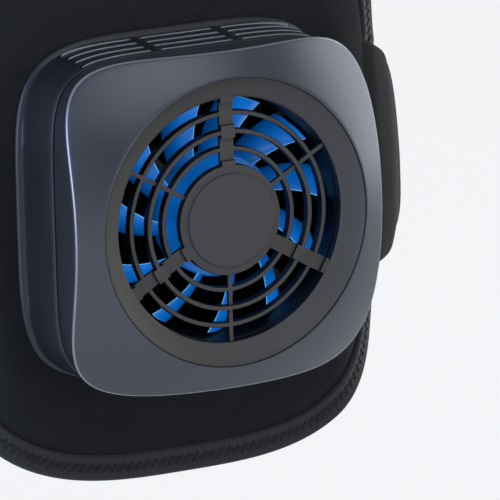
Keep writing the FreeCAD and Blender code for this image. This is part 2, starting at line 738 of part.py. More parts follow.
def fan_grille():
    """Dished rim, rings at two levels, broad and thin spokes, and a blank hub."""
    rim = turned("rim", [("grille_radius", "grille_back + ledge_thickness"),
                         ("grille_radius", "rim_front - edge_round / 2"),
                         ("grille_radius - edge_round / 2", "rim_front"),
                         ("opening_radius + edge_round / 2", "grille_front"),
                         ("opening_radius", "grille_front - edge_round / 2"),
                         ("opening_radius", "grille_back"),
                         ("ledge_inner - fit_gap", "grille_back"),
                         ("ledge_inner - fit_gap", "grille_back + ledge_thickness")])
    hub = turned("hub", [("0", "grille_back"), ("hub_radius", "grille_back"),
                         ("hub_radius", "grille_front - edge_round"),
                         ("hub_radius - edge_round / 3", "grille_front - edge_round / 3"),
                         ("hub_radius - edge_round", "grille_front"), ("0", "grille_front")])
    rings = []
    for index in range(COUNTS["grille_rings"]):
        front = "grille_front" if index % 2 else "low_front"
        rings.append(ring("(ring_radius + %d * ring_pitch)" % index, "ring_width", "ring_depth",
                          front + " - ring_depth"))
    spokes = []
    step = 360 / COUNTS["grille_spokes"]
    start, end = "hub_radius - joint_overlap", "opening_radius + joint_overlap"
    for index in range(COUNTS["grille_spokes"]):
        angle = 90 + step * index
        spokes.append(stepped_spoke(angle, start, end))
        spokes.append(spoke(angle - step / 2, "thin_spoke_width", start, end, "grille_back",
                            "low_front - grille_back"))
    finish(fuse([rim, hub] + rings + spokes), "fan_grille")
    cap_front = "grille_front + hub_cap_height"
    finish(turned("cap", [("0", "grille_front"), ("hub_cap_radius", "grille_front"),
                          ("hub_cap_radius", cap_front + " - edge_round"),
                          ("hub_cap_radius - edge_round / 3", cap_front + " - edge_round / 3"),
                          ("hub_cap_radius - edge_round", cap_front), ("0", cap_front)]), "grille_hub_cap")


# ---------------------------------------------------------------- clamp stack

def back_bezel():
    """Frame on the limb side that clamps the fabric to the pod and holds the plate."""
    frame = tile("bezel", "bezel_width / 2", "bezel_corner", "liner_thickness", "liner_back")
    recess = tile("plate_recess", "plate_width / 2 + fit_gap", "plate_corner + fit_gap",
                  "liner_thickness", "plate_back - liner_thickness")
    window = tile("bezel_window", "window_half", "window_corner", "2 * liner_thickness", "1.5 * liner_back")
    sinks = clamp_holes("clamp_screw_head + screw_gap", "clamp_sink + joint_overlap",
                        "liner_back - joint_overlap")
    holes = clamp_holes("clamp_screw_radius + screw_gap", "2 * liner_thickness", "1.5 * liner_back")
    finish(cut(frame, [recess, window] + sinks + holes), "back_bezel")


def screw(across, up, head_radius, shank_radius, shank_length, head_depth, forward=True):
    """A pan-head screw with a socket. Its head is on the limb side of head_depth."""
    head = disc(head_radius, "head_height", "%s - head_height" % head_depth, across, up)
    shank = disc(shank_radius, shank_length, head_depth, across, up)
    socket = disc("socket_radius", "socket_depth", "%s - head_height" % head_depth, across, up)
    return cut(fuse([head, shank]), [socket])


def front_screw(across, up, head_radius, shank_radius, shank_length, head_depth):
    """A pan-head screw that is driven from the front, towards the limb."""
    head = disc(head_radius, "head_height", head_depth, across, up)
    shank = disc(shank_radius, shank_length, "%s - (%s)" % (head_depth, shank_length), across, up)
    socket = disc("socket_radius", "socket_depth", "%s + head_height - socket_depth" % head_depth, across, up)
    return cut(fuse([head, shank]), [socket])


def clamp_screws():
    length = "-(liner_back + clamp_sink) + clamp_boss_height"
    screws = four_corners(lambda x, z: screw(x, z, "clamp_screw_head", "clamp_screw_radius", length,
                                             "(liner_back + clamp_sink)"),
                          "clamp_screw_across", "clamp_screw_up")
    finish(compound(screws), "clamp_screws")


def thermal_plate():
    face = tile("plate", "plate_width / 2", "plate_corner", "plate_thickness", "plate_face")
    pedestal = tile("pedestal", "pedestal_width / 2", "pedestal_corner",
                    "element_back - plate_back", "plate_back")
    finish(fuse([face, pedestal]), "thermal_plate")


def element():
    """Thermoelectric element: two ceramic plates with posts of semiconductor between."""
    post_length = "element_thickness - 2 * ceramic_thickness"
    post_back = "element_back + ceramic_thickness"
    for name, depth in (("element_skin_ceramic", "element_back"),
                        ("element_sink_ceramic", "sink_back - ceramic_thickness")):
        finish(block("element_width", "element_width", "ceramic_thickness", depth), name)
    rows = COUNTS["pellet_rows"]
    spots = ["(%g * pellet_pitch)" % (index - (rows - 1) / 2) for index in range(rows)]
    posts = [block("pellet_width", "pellet_width", post_length, post_back, x, z)
             for x in spots for z in spots]
    finish(compound(posts), "element_pellets")


def gasket():
    frame = block("gasket_width", "gasket_width", "gasket_thickness", "floor_thickness")
    inside = "2 * window_half"
    window = block(inside, inside, "3 * gasket_thickness", "floor_thickness - gasket_thickness")
    finish(cut(frame, [window]), "insulation_gasket")


def heat_sink():
    """Extruded fins on a base, with a well for a screw at each corner."""
    base = block("sink_width", "sink_width", "sink_base", "sink_back")
    fins = [block("fin_thickness", "sink_width", "fin_height + sink_base / 2", "sink_floor - sink_base / 2",
                  "%g * fin_pitch" % (index - (COUNTS["fins"] - 1) / 2)) for index in range(COUNTS["fins"])]
    wells = four_corners(lambda x, z: disc("well_radius", "2 * fin_height", "sink_floor", x, z),
                         "screw_place", "screw_place")
    holes = four_corners(lambda x, z: disc("sink_screw_radius + screw_gap", "3 * sink_base",
                                           "sink_back - sink_base", x, z), "screw_place", "screw_place")
    finish(cut(fuse([base] + fins), wells + holes), "heat_sink")
    length = "sink_floor - floor_thickness / 2 - screw_gap"
    screws = four_corners(lambda x, z: front_screw(x, z, "sink_screw_head", "sink_screw_radius", length,
                                                   "sink_floor"), "screw_place", "screw_place")
    finish(compound(screws), "heat_sink_screws")


# ------------------------------------------------------------------------ fan

def fan_frame():
    flange = tile("fan_flange", "fan_width / 2", "fan_corner", "fan_flange", "fan_back")
    shroud = disc("fan_bore + shroud_wall", "fan_depth", "fan_back")
    bore = disc("fan_bore", "3 * fan_depth", "fan_back - fan_depth")
    holes = four_corners(lambda x, z: disc("fan_screw_radius + screw_gap", "3 * fan_flange",
                                           "fan_back - fan_flange", x, z), "screw_place", "screw_place")
    case = cut(fuse([flange, shroud]), [bore] + holes)
    base = disc("fan_base_radius", "fan_base", "fan_back")
    step = 360 / COUNTS["struts"]
    start, end = "fan_base_radius - joint_overlap", "fan_bore + shroud_wall / 2"
    struts = [spoke(step * (index + 0.5), "strut_width", start, end, "fan_back", "strut_depth")
              for index in range(COUNTS["struts"])]
    tube = disc("tube_radius", "fan_base + tube_length", "fan_back")
    socket = disc("bearing_radius", "fan_base + 2 * tube_length", "fan_back + fan_base / 2")
    finish(cut(fuse([case, base, tube] + struts), [socket]), "fan_frame")


def fan_bearings():
    pair = []
    for start in ("board_back", "tube_front - bearing_length"):
        bore = disc("shaft_radius + shaft_gap", "bearing_length", start)
        pair.append(cut(disc("bearing_radius - shaft_gap", "bearing_length", start), [bore]))
    finish(compound(pair), "fan_bearings")


def fan_stator():
    finish(cut(disc("magnet_inner - running_gap", "board_thickness", "board_back"),
               [disc("tube_radius + fit_gap", "board_thickness", "board_back")]), "fan_circuit_board")
    hub = "tube_radius + core_hub_wall"
    pieces = [disc(hub, "core_thickness", "core_back")]
    shoe = cut(disc("core_radius", "core_thickness", "core_back"),
               [disc("core_radius - coil_thickness * 2", "core_thickness", "core_back")])
    step = 360 / COUNTS["poles"]
    gaps = [spoke(step * (index + 0.5), "strut_width", "tube_radius", "core_radius + joint_overlap",
                  "core_back", "core_thickness") for index in range(COUNTS["poles"])]
    arms = [spoke(step * index, "strut_width", "tube_radius + joint_overlap", "core_radius - coil_thickness",
                  "core_back", "core_thickness") for index in range(COUNTS["poles"])]
    bore = disc("tube_radius + fit_gap", "core_thickness", "core_back")
    finish(cut(fuse(pieces + [cut(shoe, gaps)] + arms), [bore]), "fan_stator_core")
    coils = []
    reach = "core_radius - coil_thickness * 2 - 3 * fit_gap"
    for index in range(COUNTS["poles"]):
        outer = spoke(step * index, "strut_width + 2 * coil_thickness", "%s + fit_gap" % hub, reach,
                      "core_back - coil_thickness", "core_thickness + 2 * coil_thickness")
        inner = spoke(step * index, "strut_width", hub, reach, "core_back", "core_thickness")
        coils.append(cut(outer, [inner]))
    finish(compound(coils), "fan_coils")
    lights = []
    for index in range(COUNTS["poles"]):
        lights.append(spoke(step * (index + 0.5), "light_width", "core_radius - 1.5 * light_width",
                            "core_radius - light_width / 2", "board_front", "light_height"))
    finish(compound(lights), "fan_lights")


def blade_section(radius, angle, chord, pitch, thickness, depth):
    """A slanted rectangle across a blade, square to the radius at that angle."""
    a, p = math.radians(angle), math.radians(pitch)
    out = vector(math.cos(a), 0, math.sin(a))
    round_ = vector(-math.sin(a), 0, math.cos(a))
    forward = vector(0, -1, 0)
    centre = out * radius + forward * (number("front_plane") + depth)
    along = (round_ * math.cos(p) - forward * math.sin(p)) * (chord / 2)
    across = (round_ * math.sin(p) + forward * math.cos(p)) * (thickness / 2)
    corners = [centre + along + across, centre - along + across,
               centre - along - across, centre + along - across]
    return Part.makePolygon(corners + corners[:1])


def blade(start_angle):
    """One twisted blade that leans back from root to tip."""
    middle = number("(blade_back + blade_front) / 2")
    sections = []
    for share in (0, 0.5, 1):
        radius = number("rotor_radius - cup_wall / 2") * (1 - share) + number("blade_tip") * share
        chord = number("blade_root_chord") * (1 - share) + number("blade_tip_chord") * share
        pitch = number("blade_root_pitch") * (1 - share) + number("blade_tip_pitch") * share
        angle = start_angle - number("blade_sweep") * share
        sections.append(blade_section(radius, angle, chord, pitch, number("blade_thickness"), middle))
    return Part.makeLoft(sections, True, False)


def fan_rotor():
    """Cup, blades, magnet ring and shaft, which turn together."""
    cup = turned("cup", [("0", "cup_front - cup_wall"), ("cup_inner", "cup_front - cup_wall"),
                         ("cup_inner", "cup_back"), ("rotor_radius", "cup_back"),
                         ("rotor_radius", "cup_front - edge_round"),
                         ("rotor_radius - edge_round", "cup_front"), ("0", "cup_front")])
    blades = doc.addObject("Part::Feature", "blades")
    step = 360 / COUNTS["blades"]
    blades.Shape = Part.makeCompound([blade(number("blade_phase") + step * index)
                                      for index in range(COUNTS["blades"])])
    swept = cut(disc("blade_tip", "fan_depth", "fan_back"), [disc("cup_inner + cup_wall / 2", "2 * fan_depth",
                                                                   "fan_back - fan_depth / 2")])
    blades = common([blades, swept])
    finish(fuse([cup, blades]), "fan_rotor")
    finish(cut(disc("cup_inner - shaft_gap", "cup_front - cup_wall - cup_back - running_gap", "cup_back"),
               [disc("magnet_inner", "fan_depth", "cup_back")]), "fan_magnet_ring")
    finish(disc("shaft_radius", "cup_front - cup_wall - board_back", "board_back"), "fan_shaft")


def fan_screws():
    screws = four_corners(lambda x, z: screw(x, z, "fan_screw_head", "fan_screw_radius",
                                             "fan_flange + fan_screw_bite", "fan_back"),
                          "screw_place", "screw_place")
    finish(compound(screws), "fan_screws")


# ------------------------------------------------------------------- controls

def control_board():
    finish(block("control_board", "control_height", "control_depth", "floor_thickness + running_gap",
                 "control_across + control_board / 2"), "control_board")


def button(name, up):
    """Push button with a retaining flange, over a switch whose plunger moves with it."""
    bore_start = "switch_front - plunger_length"
    plunger_start = "%s + button_travel + fit_gap" % bore_start
    cap = stadium("flange_outer_face", "wall_outer + button_proud - flange_outer_face", "button_length",
                  "button_width", "button_depth", up)
    flange = stadium("flange_inner_face", "button_flange", "button_length + 2 * button_flange_edge",
                     "button_width + 2 * button_flange_edge", "button_depth", up)
    finish(fuse([cap, flange]), name + "_button")
    finish(side_disc("plunger_radius", "flange_inner_face - (%s)" % plunger_start, plunger_start,
                     "button_depth", up), name + "_plunger")
    case = side_block("switch_back", "switch_height", "switch_width", "switch_width", "button_depth", up)
    bore = side_disc("plunger_radius + shaft_gap", "2 * plunger_length", bore_start, "button_depth", up)
    finish(cut(case, [bore]), name + "_switch")


def usb_socket():
    start = "switch_back"
    length = "wall_outer - running_gap - switch_back"
    shell = stadium(start, length, "port_width", "port_height", "button_depth", "socket_up")
    mouth_start = "wall_outer - running_gap - port_cavity"
    mouth = stadium(mouth_start, "2 * port_cavity", "port_width - 2 * port_wall",
                    "port_height - 2 * port_wall", "button_depth", "socket_up")
    tongue = side_block("%s - port_wall" % mouth_start, "tongue_length + port_wall", "tongue_width",
                        "tongue_thickness", "button_depth", "socket_up")
    finish(fuse([cut(shell, [mouth]), tongue]), "charging_socket")


def battery_cell():
    finish(block("cell_thickness", "cell_height", "cell_depth", "floor_thickness + running_gap",
                 "-(room_half - fit_gap - cell_thickness / 2)"), "battery_cell")


# ---------------------------------------------------------------------- build

def check_and_export():
    doc.recompute()
    for item in doc.Objects:
        if "Invalid" in item.State or "Error" in item.State:
            raise RuntimeError("%s (%s) failed" % (item.Name, item.Label))
    for item in sub_parts:
        if item.Shape.isNull() or not item.Shape.isValid():
            raise RuntimeError("%s has no valid shape" % item.Label)
    os.makedirs("parts", exist_ok=True)
    for item in sub_parts:
        item.Shape.exportStep("parts/%s.step" % item.Label)
        print("%-22s solids %3d  volume %9.1f" % (item.Label, len(item.Shape.Solids), item.Shape.Volume))


def main():
    fill_sheet()
    for make in (outer_panel, liner_pad, edge_binding, closure, rear_housing, front_cover, fan_grille,
                 back_bezel, clamp_screws, thermal_plate, element, gasket, heat_sink, fan_frame, fan_bearings,
                 fan_stator, fan_rotor, fan_screws, control_board, usb_socket, battery_cell):
        make()
    strap(1, "right_strap")
    strap(-1, "left_strap")
    button("power", "power_button_up")
    button("mode", "mode_button_up")
    check_and_export()


main()
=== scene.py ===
import math

import bmesh
import bpy
import numpy as np
from mathutils import Matrix, Vector


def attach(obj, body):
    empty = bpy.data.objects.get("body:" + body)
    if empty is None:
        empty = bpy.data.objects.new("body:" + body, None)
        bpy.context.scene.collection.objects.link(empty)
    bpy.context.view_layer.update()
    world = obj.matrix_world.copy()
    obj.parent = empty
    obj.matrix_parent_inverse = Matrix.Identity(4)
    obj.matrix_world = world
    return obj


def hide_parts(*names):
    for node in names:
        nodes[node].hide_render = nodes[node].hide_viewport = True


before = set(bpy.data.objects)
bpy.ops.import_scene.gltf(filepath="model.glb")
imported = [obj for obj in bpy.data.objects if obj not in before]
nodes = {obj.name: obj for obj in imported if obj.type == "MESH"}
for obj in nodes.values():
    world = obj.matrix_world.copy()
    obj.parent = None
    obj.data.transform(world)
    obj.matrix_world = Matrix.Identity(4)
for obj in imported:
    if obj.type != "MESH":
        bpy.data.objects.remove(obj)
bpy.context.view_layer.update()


# ------------------------------------------------------------------------ studio
# A pale, even surround with five soft boxes: one on each side that rakes the face,
# the left one cool, and weak ones in front, above and behind.

def paint(code):
    """A colour written as sRGB hex, turned to the linear values of a shader."""
    channels = [int(code[i:i + 2], 16) / 255 for i in (1, 3, 5)]
    return [c / 12.92 if c <= 0.04045 else ((c + 0.055) / 1.055) ** 2.4 for c in channels] + [1]


def add_node(tree, kind, sockets=None, **settings):
    """Add a node to a tree with its settings, and with its sockets set or linked."""
    item = tree.nodes.new("ShaderNode" + kind)
    for name, value in settings.items():
        setattr(item, name, value)
    for name, value in (sockets or {}).items():
        if isinstance(value, bpy.types.NodeSocket):
            tree.links.new(value, item.inputs[name])
        else:
            item.inputs[name].default_value = value
    return item


def seen_directly(tree):
    """1 for rays from the camera, from gloss and through glass, otherwise 0."""
    path = add_node(tree, "LightPath")
    first = add_node(tree, "Math", {0: path.outputs["Is Camera Ray"], 1: path.outputs["Is Glossy Ray"]},
                     operation="MAXIMUM")
    return add_node(tree, "Math", {0: first.outputs[0], 1: path.outputs["Is Transmission Ray"]},
                    operation="MAXIMUM").outputs[0]


def blank_material(name):
    """A new material and its node tree, still empty."""
    material = bpy.data.materials.new(name)
    material.use_nodes = True
    material.node_tree.nodes.clear()
    return material, material.node_tree


def direction(azimuth, elevation):
    """The way out from the pod: azimuth 0 is straight in front and 90 is to its right."""
    turn, rise = math.radians(azimuth), math.radians(elevation)
    return Vector((math.sin(turn) * math.cos(rise), -math.cos(turn) * math.cos(rise), math.sin(rise)))


scene = bpy.context.scene
scene.view_settings.view_transform = "Standard"
surround_white = paint("#f3f4f6")

world = bpy.data.worlds.new("studio_air")
scene.world = world
world.use_nodes = True
air = world.node_tree
air.nodes.clear()
air_path = add_node(air, "LightPath")
ambient = add_node(air, "Background", {"Color": paint("#e4e9f2"), "Strength": 0.24})
beyond = add_node(air, "Background", {"Color": surround_white, "Strength": 1})
air_mix = add_node(air, "MixShader", {0: air_path.outputs["Is Camera Ray"], 1: ambient.outputs[0],
                                      2: beyond.outputs[0]})
add_node(air, "OutputWorld", {"Surface": air_mix.outputs[0]})

floor_paper, tree = blank_material("white_paper_floor")
paper = add_node(tree, "BsdfDiffuse", {"Color": paint("#5b5b5c")})
glow = add_node(tree, "Emission", {"Color": paint("#ecedef"), "Strength": seen_directly(tree)})
sheet_sum = add_node(tree, "AddShader", {0: paper.outputs[0], 1: glow.outputs[0]})
add_node(tree, "OutputMaterial", {"Surface": sheet_sum.outputs[0]})

floor_level = -0.19
floor_reach = 30
floor_mesh = bpy.data.meshes.new("floor")
floor_mesh.from_pydata([(x * floor_reach, y * floor_reach, floor_level)
                        for x, y in ((-1, -1), (1, -1), (1, 1), (-1, 1))], [], [(0, 1, 2, 3)])
floor_mesh.materials.append(floor_paper)
floor = bpy.data.objects.new("floor", floor_mesh)
scene.collection.objects.link(floor)

pod_middle = Vector((0, -0.05, 0))
for name, azimuth, elevation, distance, wide, high, watts, tint in (
        ("right_box", 90, 12, 1.1, 0.8, 0.8, 7, "#ffffff"),
        ("left_box", -80, 3, 1.2, 0.7, 0.9, 15, "#c6d8ff"),
        ("front_box", 8, 4, 1.6, 0.8, 0.5, 2.2, "#ffffff"),
        ("high_box", 0, 44, 1.4, 1.3, 0.6, 4.6, "#ffffff"),
        ("rear_box", 168, 4, 1.3, 0.9, 0.9, 2, "#ffffff")):
    lamp = bpy.data.lights.new(name, "AREA")
    lamp.shape = "RECTANGLE"
    lamp.size, lamp.size_y = wide, high
    lamp.energy = watts
    lamp.color = paint(tint)[:3]
    outward = direction(azimuth, elevation)
    box_lamp = bpy.data.objects.new(name, lamp)
    box_lamp.location = pod_middle + outward * distance
    box_lamp.rotation_euler = outward.to_track_quat("Z", "Y").to_euler()
    scene.collection.objects.link(box_lamp)

# A long lens from the front left and a little above, as a product shot is taken.
back = direction(-27.59, 13.73)
view_roll = math.radians(-1.46)
view_distance = 2.0
aim = Vector((0.02278, -0.036, -0.01795))
level = (-back).cross(Vector((0, 0, 1))).normalized()
upright = level.cross(-back)
right = level * math.cos(view_roll) + upright * math.sin(view_roll)
above = upright * math.cos(view_roll) - level * math.sin(view_roll)
lens = bpy.data.cameras.new("camera")
lens.sensor_width = 36
lens.lens = 535.7
lens.clip_start, lens.clip_end = 0.05, 60
camera = bpy.data.objects.new("camera", lens)
camera.matrix_world = Matrix.Translation(aim + back * view_distance) @ Matrix(
    (right, above, back)).transposed().to_4x4()
scene.collection.objects.link(camera)
scene.camera = camera


# --------------------------------------------------------------------- rear housing
# The rear half of the pod: an ABS moulding with a soft lip that lies on the wrap,
# four rows of slots in its top and bottom walls and openings for the controls.

front_plane = 36                     # outer face of the wrap's flat front, from the limb's axis
parting = 17.4                       # depth of the joint between the two halves
groove = 1.0
wall = 2.1
side_half, side_power = 44.12, 5.66  # at the parting line
base_half, base_power = 45.2, 5.0    # in front of the lip
base_start = 2.15
lip_half, lip_power = 46.9, 4.47


def squircle(half, power, angles):
    """Points of a superellipse, the square with soft corners that the pod is drawn on."""
    c, s = np.cos(angles), np.sin(angles)
    return (half * np.sign(c) * np.abs(c) ** (2 / power), half * np.sign(s) * np.abs(s) ** (2 / power))


def run_along(line):
    """The distance along a line, at each of its points."""
    return np.concatenate([[0], np.cumsum(np.linalg.norm(np.diff(line, axis=0), axis=1))])


def even_angles(power, count):
    """Angles that space the points of a superellipse evenly along its line."""
    fine = np.linspace(0, 2 * np.pi, 7201)
    run = run_along(np.stack(squircle(1, power, fine), axis=1))
    return np.interp(np.arange(count) / count * run[-1], run, fine)


def between(start, end, share):
    """What lies at a share of the way from one value, or line of points, to another."""
    return start * (1 - share) + end * share


def in_front(x, depth, up):
    """Points at a distance across, forward of the wrap and up, in the part's frame."""
    x, depth, up = np.broadcast_arrays(np.asarray(x, float), depth, up)
    return np.stack([x, -(front_plane + depth), up], axis=-1)


def skin(loops, closed=True, ends=False):
    """Quads between loops of points. Closed joins the last loop to the first."""
    rows, count = len(loops), len(loops[0])
    faces = []
    for row in range(rows if closed else rows - 1):
        here, there = row * count, (row + 1) % rows * count
        for spot in range(count):
            after = (spot + 1) % count
            faces.append((here + spot, here + after, there + after, there + spot))
    if ends:
        faces.append(tuple(range(count)))
        faces.append(tuple(range((rows - 1) * count, rows * count)))
    return np.concatenate(loops), faces


def joined(*parts):
    """Several lists of points and faces as one."""
    points, faces = [], []
    for part_points, part_faces in parts:
        start = sum(len(group) for group in points)
        points.append(part_points)
        faces += [tuple(start + corner for corner in face) for face in part_faces]
    return np.concatenate(points), faces


def new_mesh(name, points, faces):
    """A mesh in metres from points in millimetres, with its faces turned outward."""
    mesh = bpy.data.meshes.new(name)
    mesh.from_pydata((np.asarray(points) / 1000).tolist(), [], faces)
    work = bmesh.new()
    work.from_mesh(mesh)
    bmesh.ops.recalc_face_normals(work, faces=work.faces)
    work.to_mesh(mesh)
    work.free()
    return mesh


def shade_smoothly(mesh, crease):
    """Smooth shading that stays sharp where faces meet at more than the crease's degrees."""
    mesh.shade_smooth()
    mesh.set_sharp_from_angle(angle=math.radians(crease))


def add_piece(name, points, faces, finishes, slot, replaced=(), body="pod_and_wrap", crease=35):
    """Make a piece of the object from points in millimetres and let it ride on its body."""
    mesh = new_mesh(name, points, faces)
    for finish in finishes:
        mesh.materials.append(finish)
    shade_smoothly(mesh, crease)
    piece = bpy.data.objects.new(name, mesh)
    scene.collection.objects.link(piece)
    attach(piece, body)
    if replaced:
        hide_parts(*replaced)
    return piece


def tones(colour, darker, paler):
    """A colour times each of two factors, as the two ends of a mix."""
    return {end: [channel * factor for channel in paint(colour)[:3]] + [1]
            for end, factor in (("Color1", darker), ("Color2", paler))}


cloud_width = 38                     # over which the tone and gloss of a moulding drift


def moulded(name, colour, roughness, grain, relief, metallic=0.0, mottle=0.12, coat=0.0):
    """Moulded thermoplastic: a sparked steel tool leaves an even, fine grain in it."""
    material, tree = blank_material(name)
    place = add_node(tree, "TexCoord").outputs["Object"]
    spark = add_node(tree, "TexNoise", {"Vector": place, "Scale": 1000 / grain, "Detail": 3,
                                        "Roughness": 0.6})
    cloud = add_node(tree, "TexNoise", {"Vector": place, "Scale": 1000 / cloud_width, "Detail": 2})
    blend = add_node(tree, "Math", {0: spark.outputs["Fac"], 1: cloud.outputs["Fac"]}, operation="ADD")
    tone = add_node(tree, "MapRange", {"Value": blend.outputs[0], "From Min": 0.6, "From Max": 1.4})
    shade = add_node(tree, "MixRGB", {"Fac": tone.outputs[0], **tones(colour, 1 - mottle, 1 + mottle)})
    matt = add_node(tree, "MapRange", {"Value": cloud.outputs["Fac"], "From Min": 0.3, "From Max": 0.7,
                                       "To Min": roughness - 0.04, "To Max": roughness + 0.04})
    bump = add_node(tree, "Bump", {"Height": spark.outputs["Fac"], "Strength": 0.5,
                                   "Distance": relief / 1000})
    shader = add_node(tree, "BsdfPrincipled", {
        "Base Color": shade.outputs[0], "Roughness": matt.outputs[0], "Metallic": metallic, "IOR": 1.53,
        "Coat Weight": coat, "Normal": bump.outputs[0]})
    add_node(tree, "OutputMaterial", {"Surface": shader.outputs[0]})
    return material


# Metallic-flecked ABS: grey with a satin sheen; its 0.1 mm grain is drawn at 0.4 mm to show.
housing_abs = moulded("flecked_abs_housing", "#32353b", 0.42, 0.4, 0.012, metallic=0.5)
# The sharp edge of the face and the lips of the slots are painted a lighter grey with a glossier finish: a
# painted highlight where they catch the light.
highlight_abs = moulded("flecked_abs_painted_highlight", "#8f949c", 0.28, 0.4, 0.004, metallic=0.4)

columns = 264
wall_angles = even_angles(side_power, columns)


def wall_loop(half, power, depth):
    x, z = squircle(half, power, wall_angles)
    return in_front(x, depth, z)


window_half, window_power = 21.5, 14
floor_half, floor_power = 38, 6      # a loop halfway across the floor
rim_round, round_middle = 0.3, 0.09  # of both rims at the parting line
rabbet, rabbet_inset = 16.4, 0.98
lip_profile = [(46.5, 0.0), (46.8, 0.12), (46.9, 0.45), (46.88, 0.95), (46.65, 1.4), (46.2, 1.72),
               (45.6, 1.92)]
housing_loops = [wall_loop(window_half, window_power, 0), wall_loop(floor_half, floor_power, 0)]
housing_loops += [wall_loop(half, lip_power, depth) for half, depth in lip_profile]
for share in np.linspace(0, 1, 9):
    housing_loops.append(wall_loop(between(base_half, side_half, share),
                                   between(base_power, side_power, min(1, 2.5 * share)),
                                   between(base_start, parting - rim_round, share)))
housing_loops += [wall_loop(side_half - inset, side_power, depth) for inset, depth in (
    (round_middle, parting - round_middle), (rim_round, parting), (rabbet_inset, parting),
    (rabbet_inset, rabbet), (wall, rabbet), (wall, wall))]
housing_loops += [wall_loop(floor_half, floor_power, wall), wall_loop(window_half, window_power, wall)]
housing = add_piece("pod_rear_half", *skin(housing_loops), [housing_abs, highlight_abs], "housing_plastic",
                    ["rear_housing"])


def bar_cutter(start, end, wide, low, high, place_on):
    """A bar with round ends, for cutting a slot from start to end through a wall."""
    turn = np.linspace(-np.pi / 2, np.pi / 2, 9)
    radius = wide / 2
    along = np.concatenate([end - radius + radius * np.cos(turn), start + radius - radius * np.cos(turn)])
    over = radius * np.concatenate([np.sin(turn), -np.sin(turn)])
    return skin([place_on(along, over, low), place_on(along, over, high)], closed=False, ends=True)


slot_first, slot_pitch, slot_rows, slot_width = 3.1, 4.05, 4, 1.55
bridge_place, bridge_half, slot_reach = 12.1, 1.2, 34.0
louvre_half, louvre_height, louvre_root, louvre_gap = 0.25, 0.28, 0.6, 0.2


def louvre(start, end, depth, facing):
    """The raised front lip of one slot: a small half-round bar that follows the wall."""
    half = between(base_half, side_half, (depth - base_start) / (parting - rim_round - base_start))
    across = np.linspace(start, end, 25)
    wall_height = half * (1 - (np.abs(across) / half) ** side_power) ** (1 / side_power)
    wall_height[[0, -1]] -= 0.6 * louvre_height
    section = [(-louvre_half * math.cos(a), louvre_height * math.sin(a)) for a in np.linspace(0, np.pi, 7)]
    section = [(-louvre_half, -louvre_root)] + section + [(louvre_half, -louvre_root)]
    lines = [in_front(across, depth + over, facing * (wall_height + rise)) for over, rise in section]
    return skin(list(np.swapaxes(lines, 0, 1)), closed=False, ends=True)


slot_runs = ((-slot_reach, -bridge_place - bridge_half),
             (bridge_half - bridge_place, bridge_place - bridge_half),
             (bridge_place + bridge_half, slot_reach))
through_walls = ((34.5, 50), (-50, -34.5))
cutters, louvres = [], []
for row in range(slot_rows):
    slot_depth = slot_first + slot_pitch * row
    lip_depth = slot_depth + slot_width / 2 + louvre_gap
    for start, end in slot_runs:
        cutters += [bar_cutter(start, end, slot_width, low, high,
                               lambda along, over, up: in_front(along, slot_depth + over, up))
                    for low, high in through_walls]
        louvres += [louvre(start + louvre_gap, end - louvre_gap, lip_depth, facing) for facing in (1, -1)]

# The openings for the two buttons and the charging socket, in the right-hand wall.
control_depth = 9.5
for up, length, wide in ((18, 11.2, 6.2), (4, 11.2, 6.2), (-13, 9.18, 3.44)):
    cutters.append(bar_cutter(up - length / 2, up + length / 2, wide, 39.5, 50,
                              lambda along, over, x: in_front(x, control_depth + over, along)))
cutter = bpy.data.objects.new("cutter", new_mesh("cutter", *joined(*cutters)))
scene.collection.objects.link(cutter)


def apply_modifiers(piece):
    """Bake a piece's modifiers into its mesh."""
    shaped = bpy.data.meshes.new_from_object(piece.evaluated_get(bpy.context.evaluated_depsgraph_get()))
    piece.modifiers.clear()
    piece.data = shaped


boolean = housing.modifiers.new("slots", "BOOLEAN")
boolean.object = cutter
boolean.solver = "EXACT"
apply_modifiers(housing)
bpy.data.objects.remove(cutter)
shade_smoothly(housing.data, 35)
softened = housing.modifiers.new("softened_edges", "BEVEL")
softened.width = 0.00016
softened.segments = 2
softened.limit_method = "ANGLE"
softened.angle_limit = math.radians(50)
apply_modifiers(housing)
plain_faces = len(housing.data.polygons)
with_lips = bmesh.new()
with_lips.from_mesh(housing.data)
with_lips.from_mesh(new_mesh("louvres", *joined(*louvres)))
with_lips.to_mesh(housing.data)
with_lips.free()
# The louvre lips take the lighter grey of the painted highlight.
for face in housing.data.polygons:
    face.material_index = 0 if face.index < plain_faces else 1
shade_smoothly(housing.data, 50)


# ---------------------------------------------------------------------- front cover
# The front half of the pod: one shallow dome, drawn out to a crisp edge all round,
# with a wide round mouth for the grille. It lies on the parting groove.

dome_radius, dome_centre = 88.5, -42.75
face_half, face_power = 45.58, 5.36
edge_bevel = 0.32
mouth_radius, mouth_round = 38.85, 0.25
collar_radius = 40.65
throat_radius = 36.25
grille_back = 30.8
ledge = 1.3
tongue_inset, tongue_end = 1.1, 16.5


def dome_depth(x, z, lift=0.0):
    return dome_centre + np.sqrt((dome_radius + lift) ** 2 - x ** 2 - z ** 2)


# The same flecked ABS in a lighter shade, with the clear sheen of a polished tool.
cover_abs = moulded("flecked_abs_cover", "#51555d", 0.38, 0.4, 0.010, metallic=0.75)
face_x, face_z = squircle(face_half - edge_bevel, face_power, wall_angles)
bearing = np.arctan2(face_z, face_x)


def round_loop(radius, depth):
    return in_front(radius * np.cos(bearing), depth, radius * np.sin(bearing))


def face_loop(share):
    x = between((mouth_radius + mouth_round) * np.cos(bearing), face_x, share)
    z = between((mouth_radius + mouth_round) * np.sin(bearing), face_z, share)
    return in_front(x, dome_depth(x, z), z)


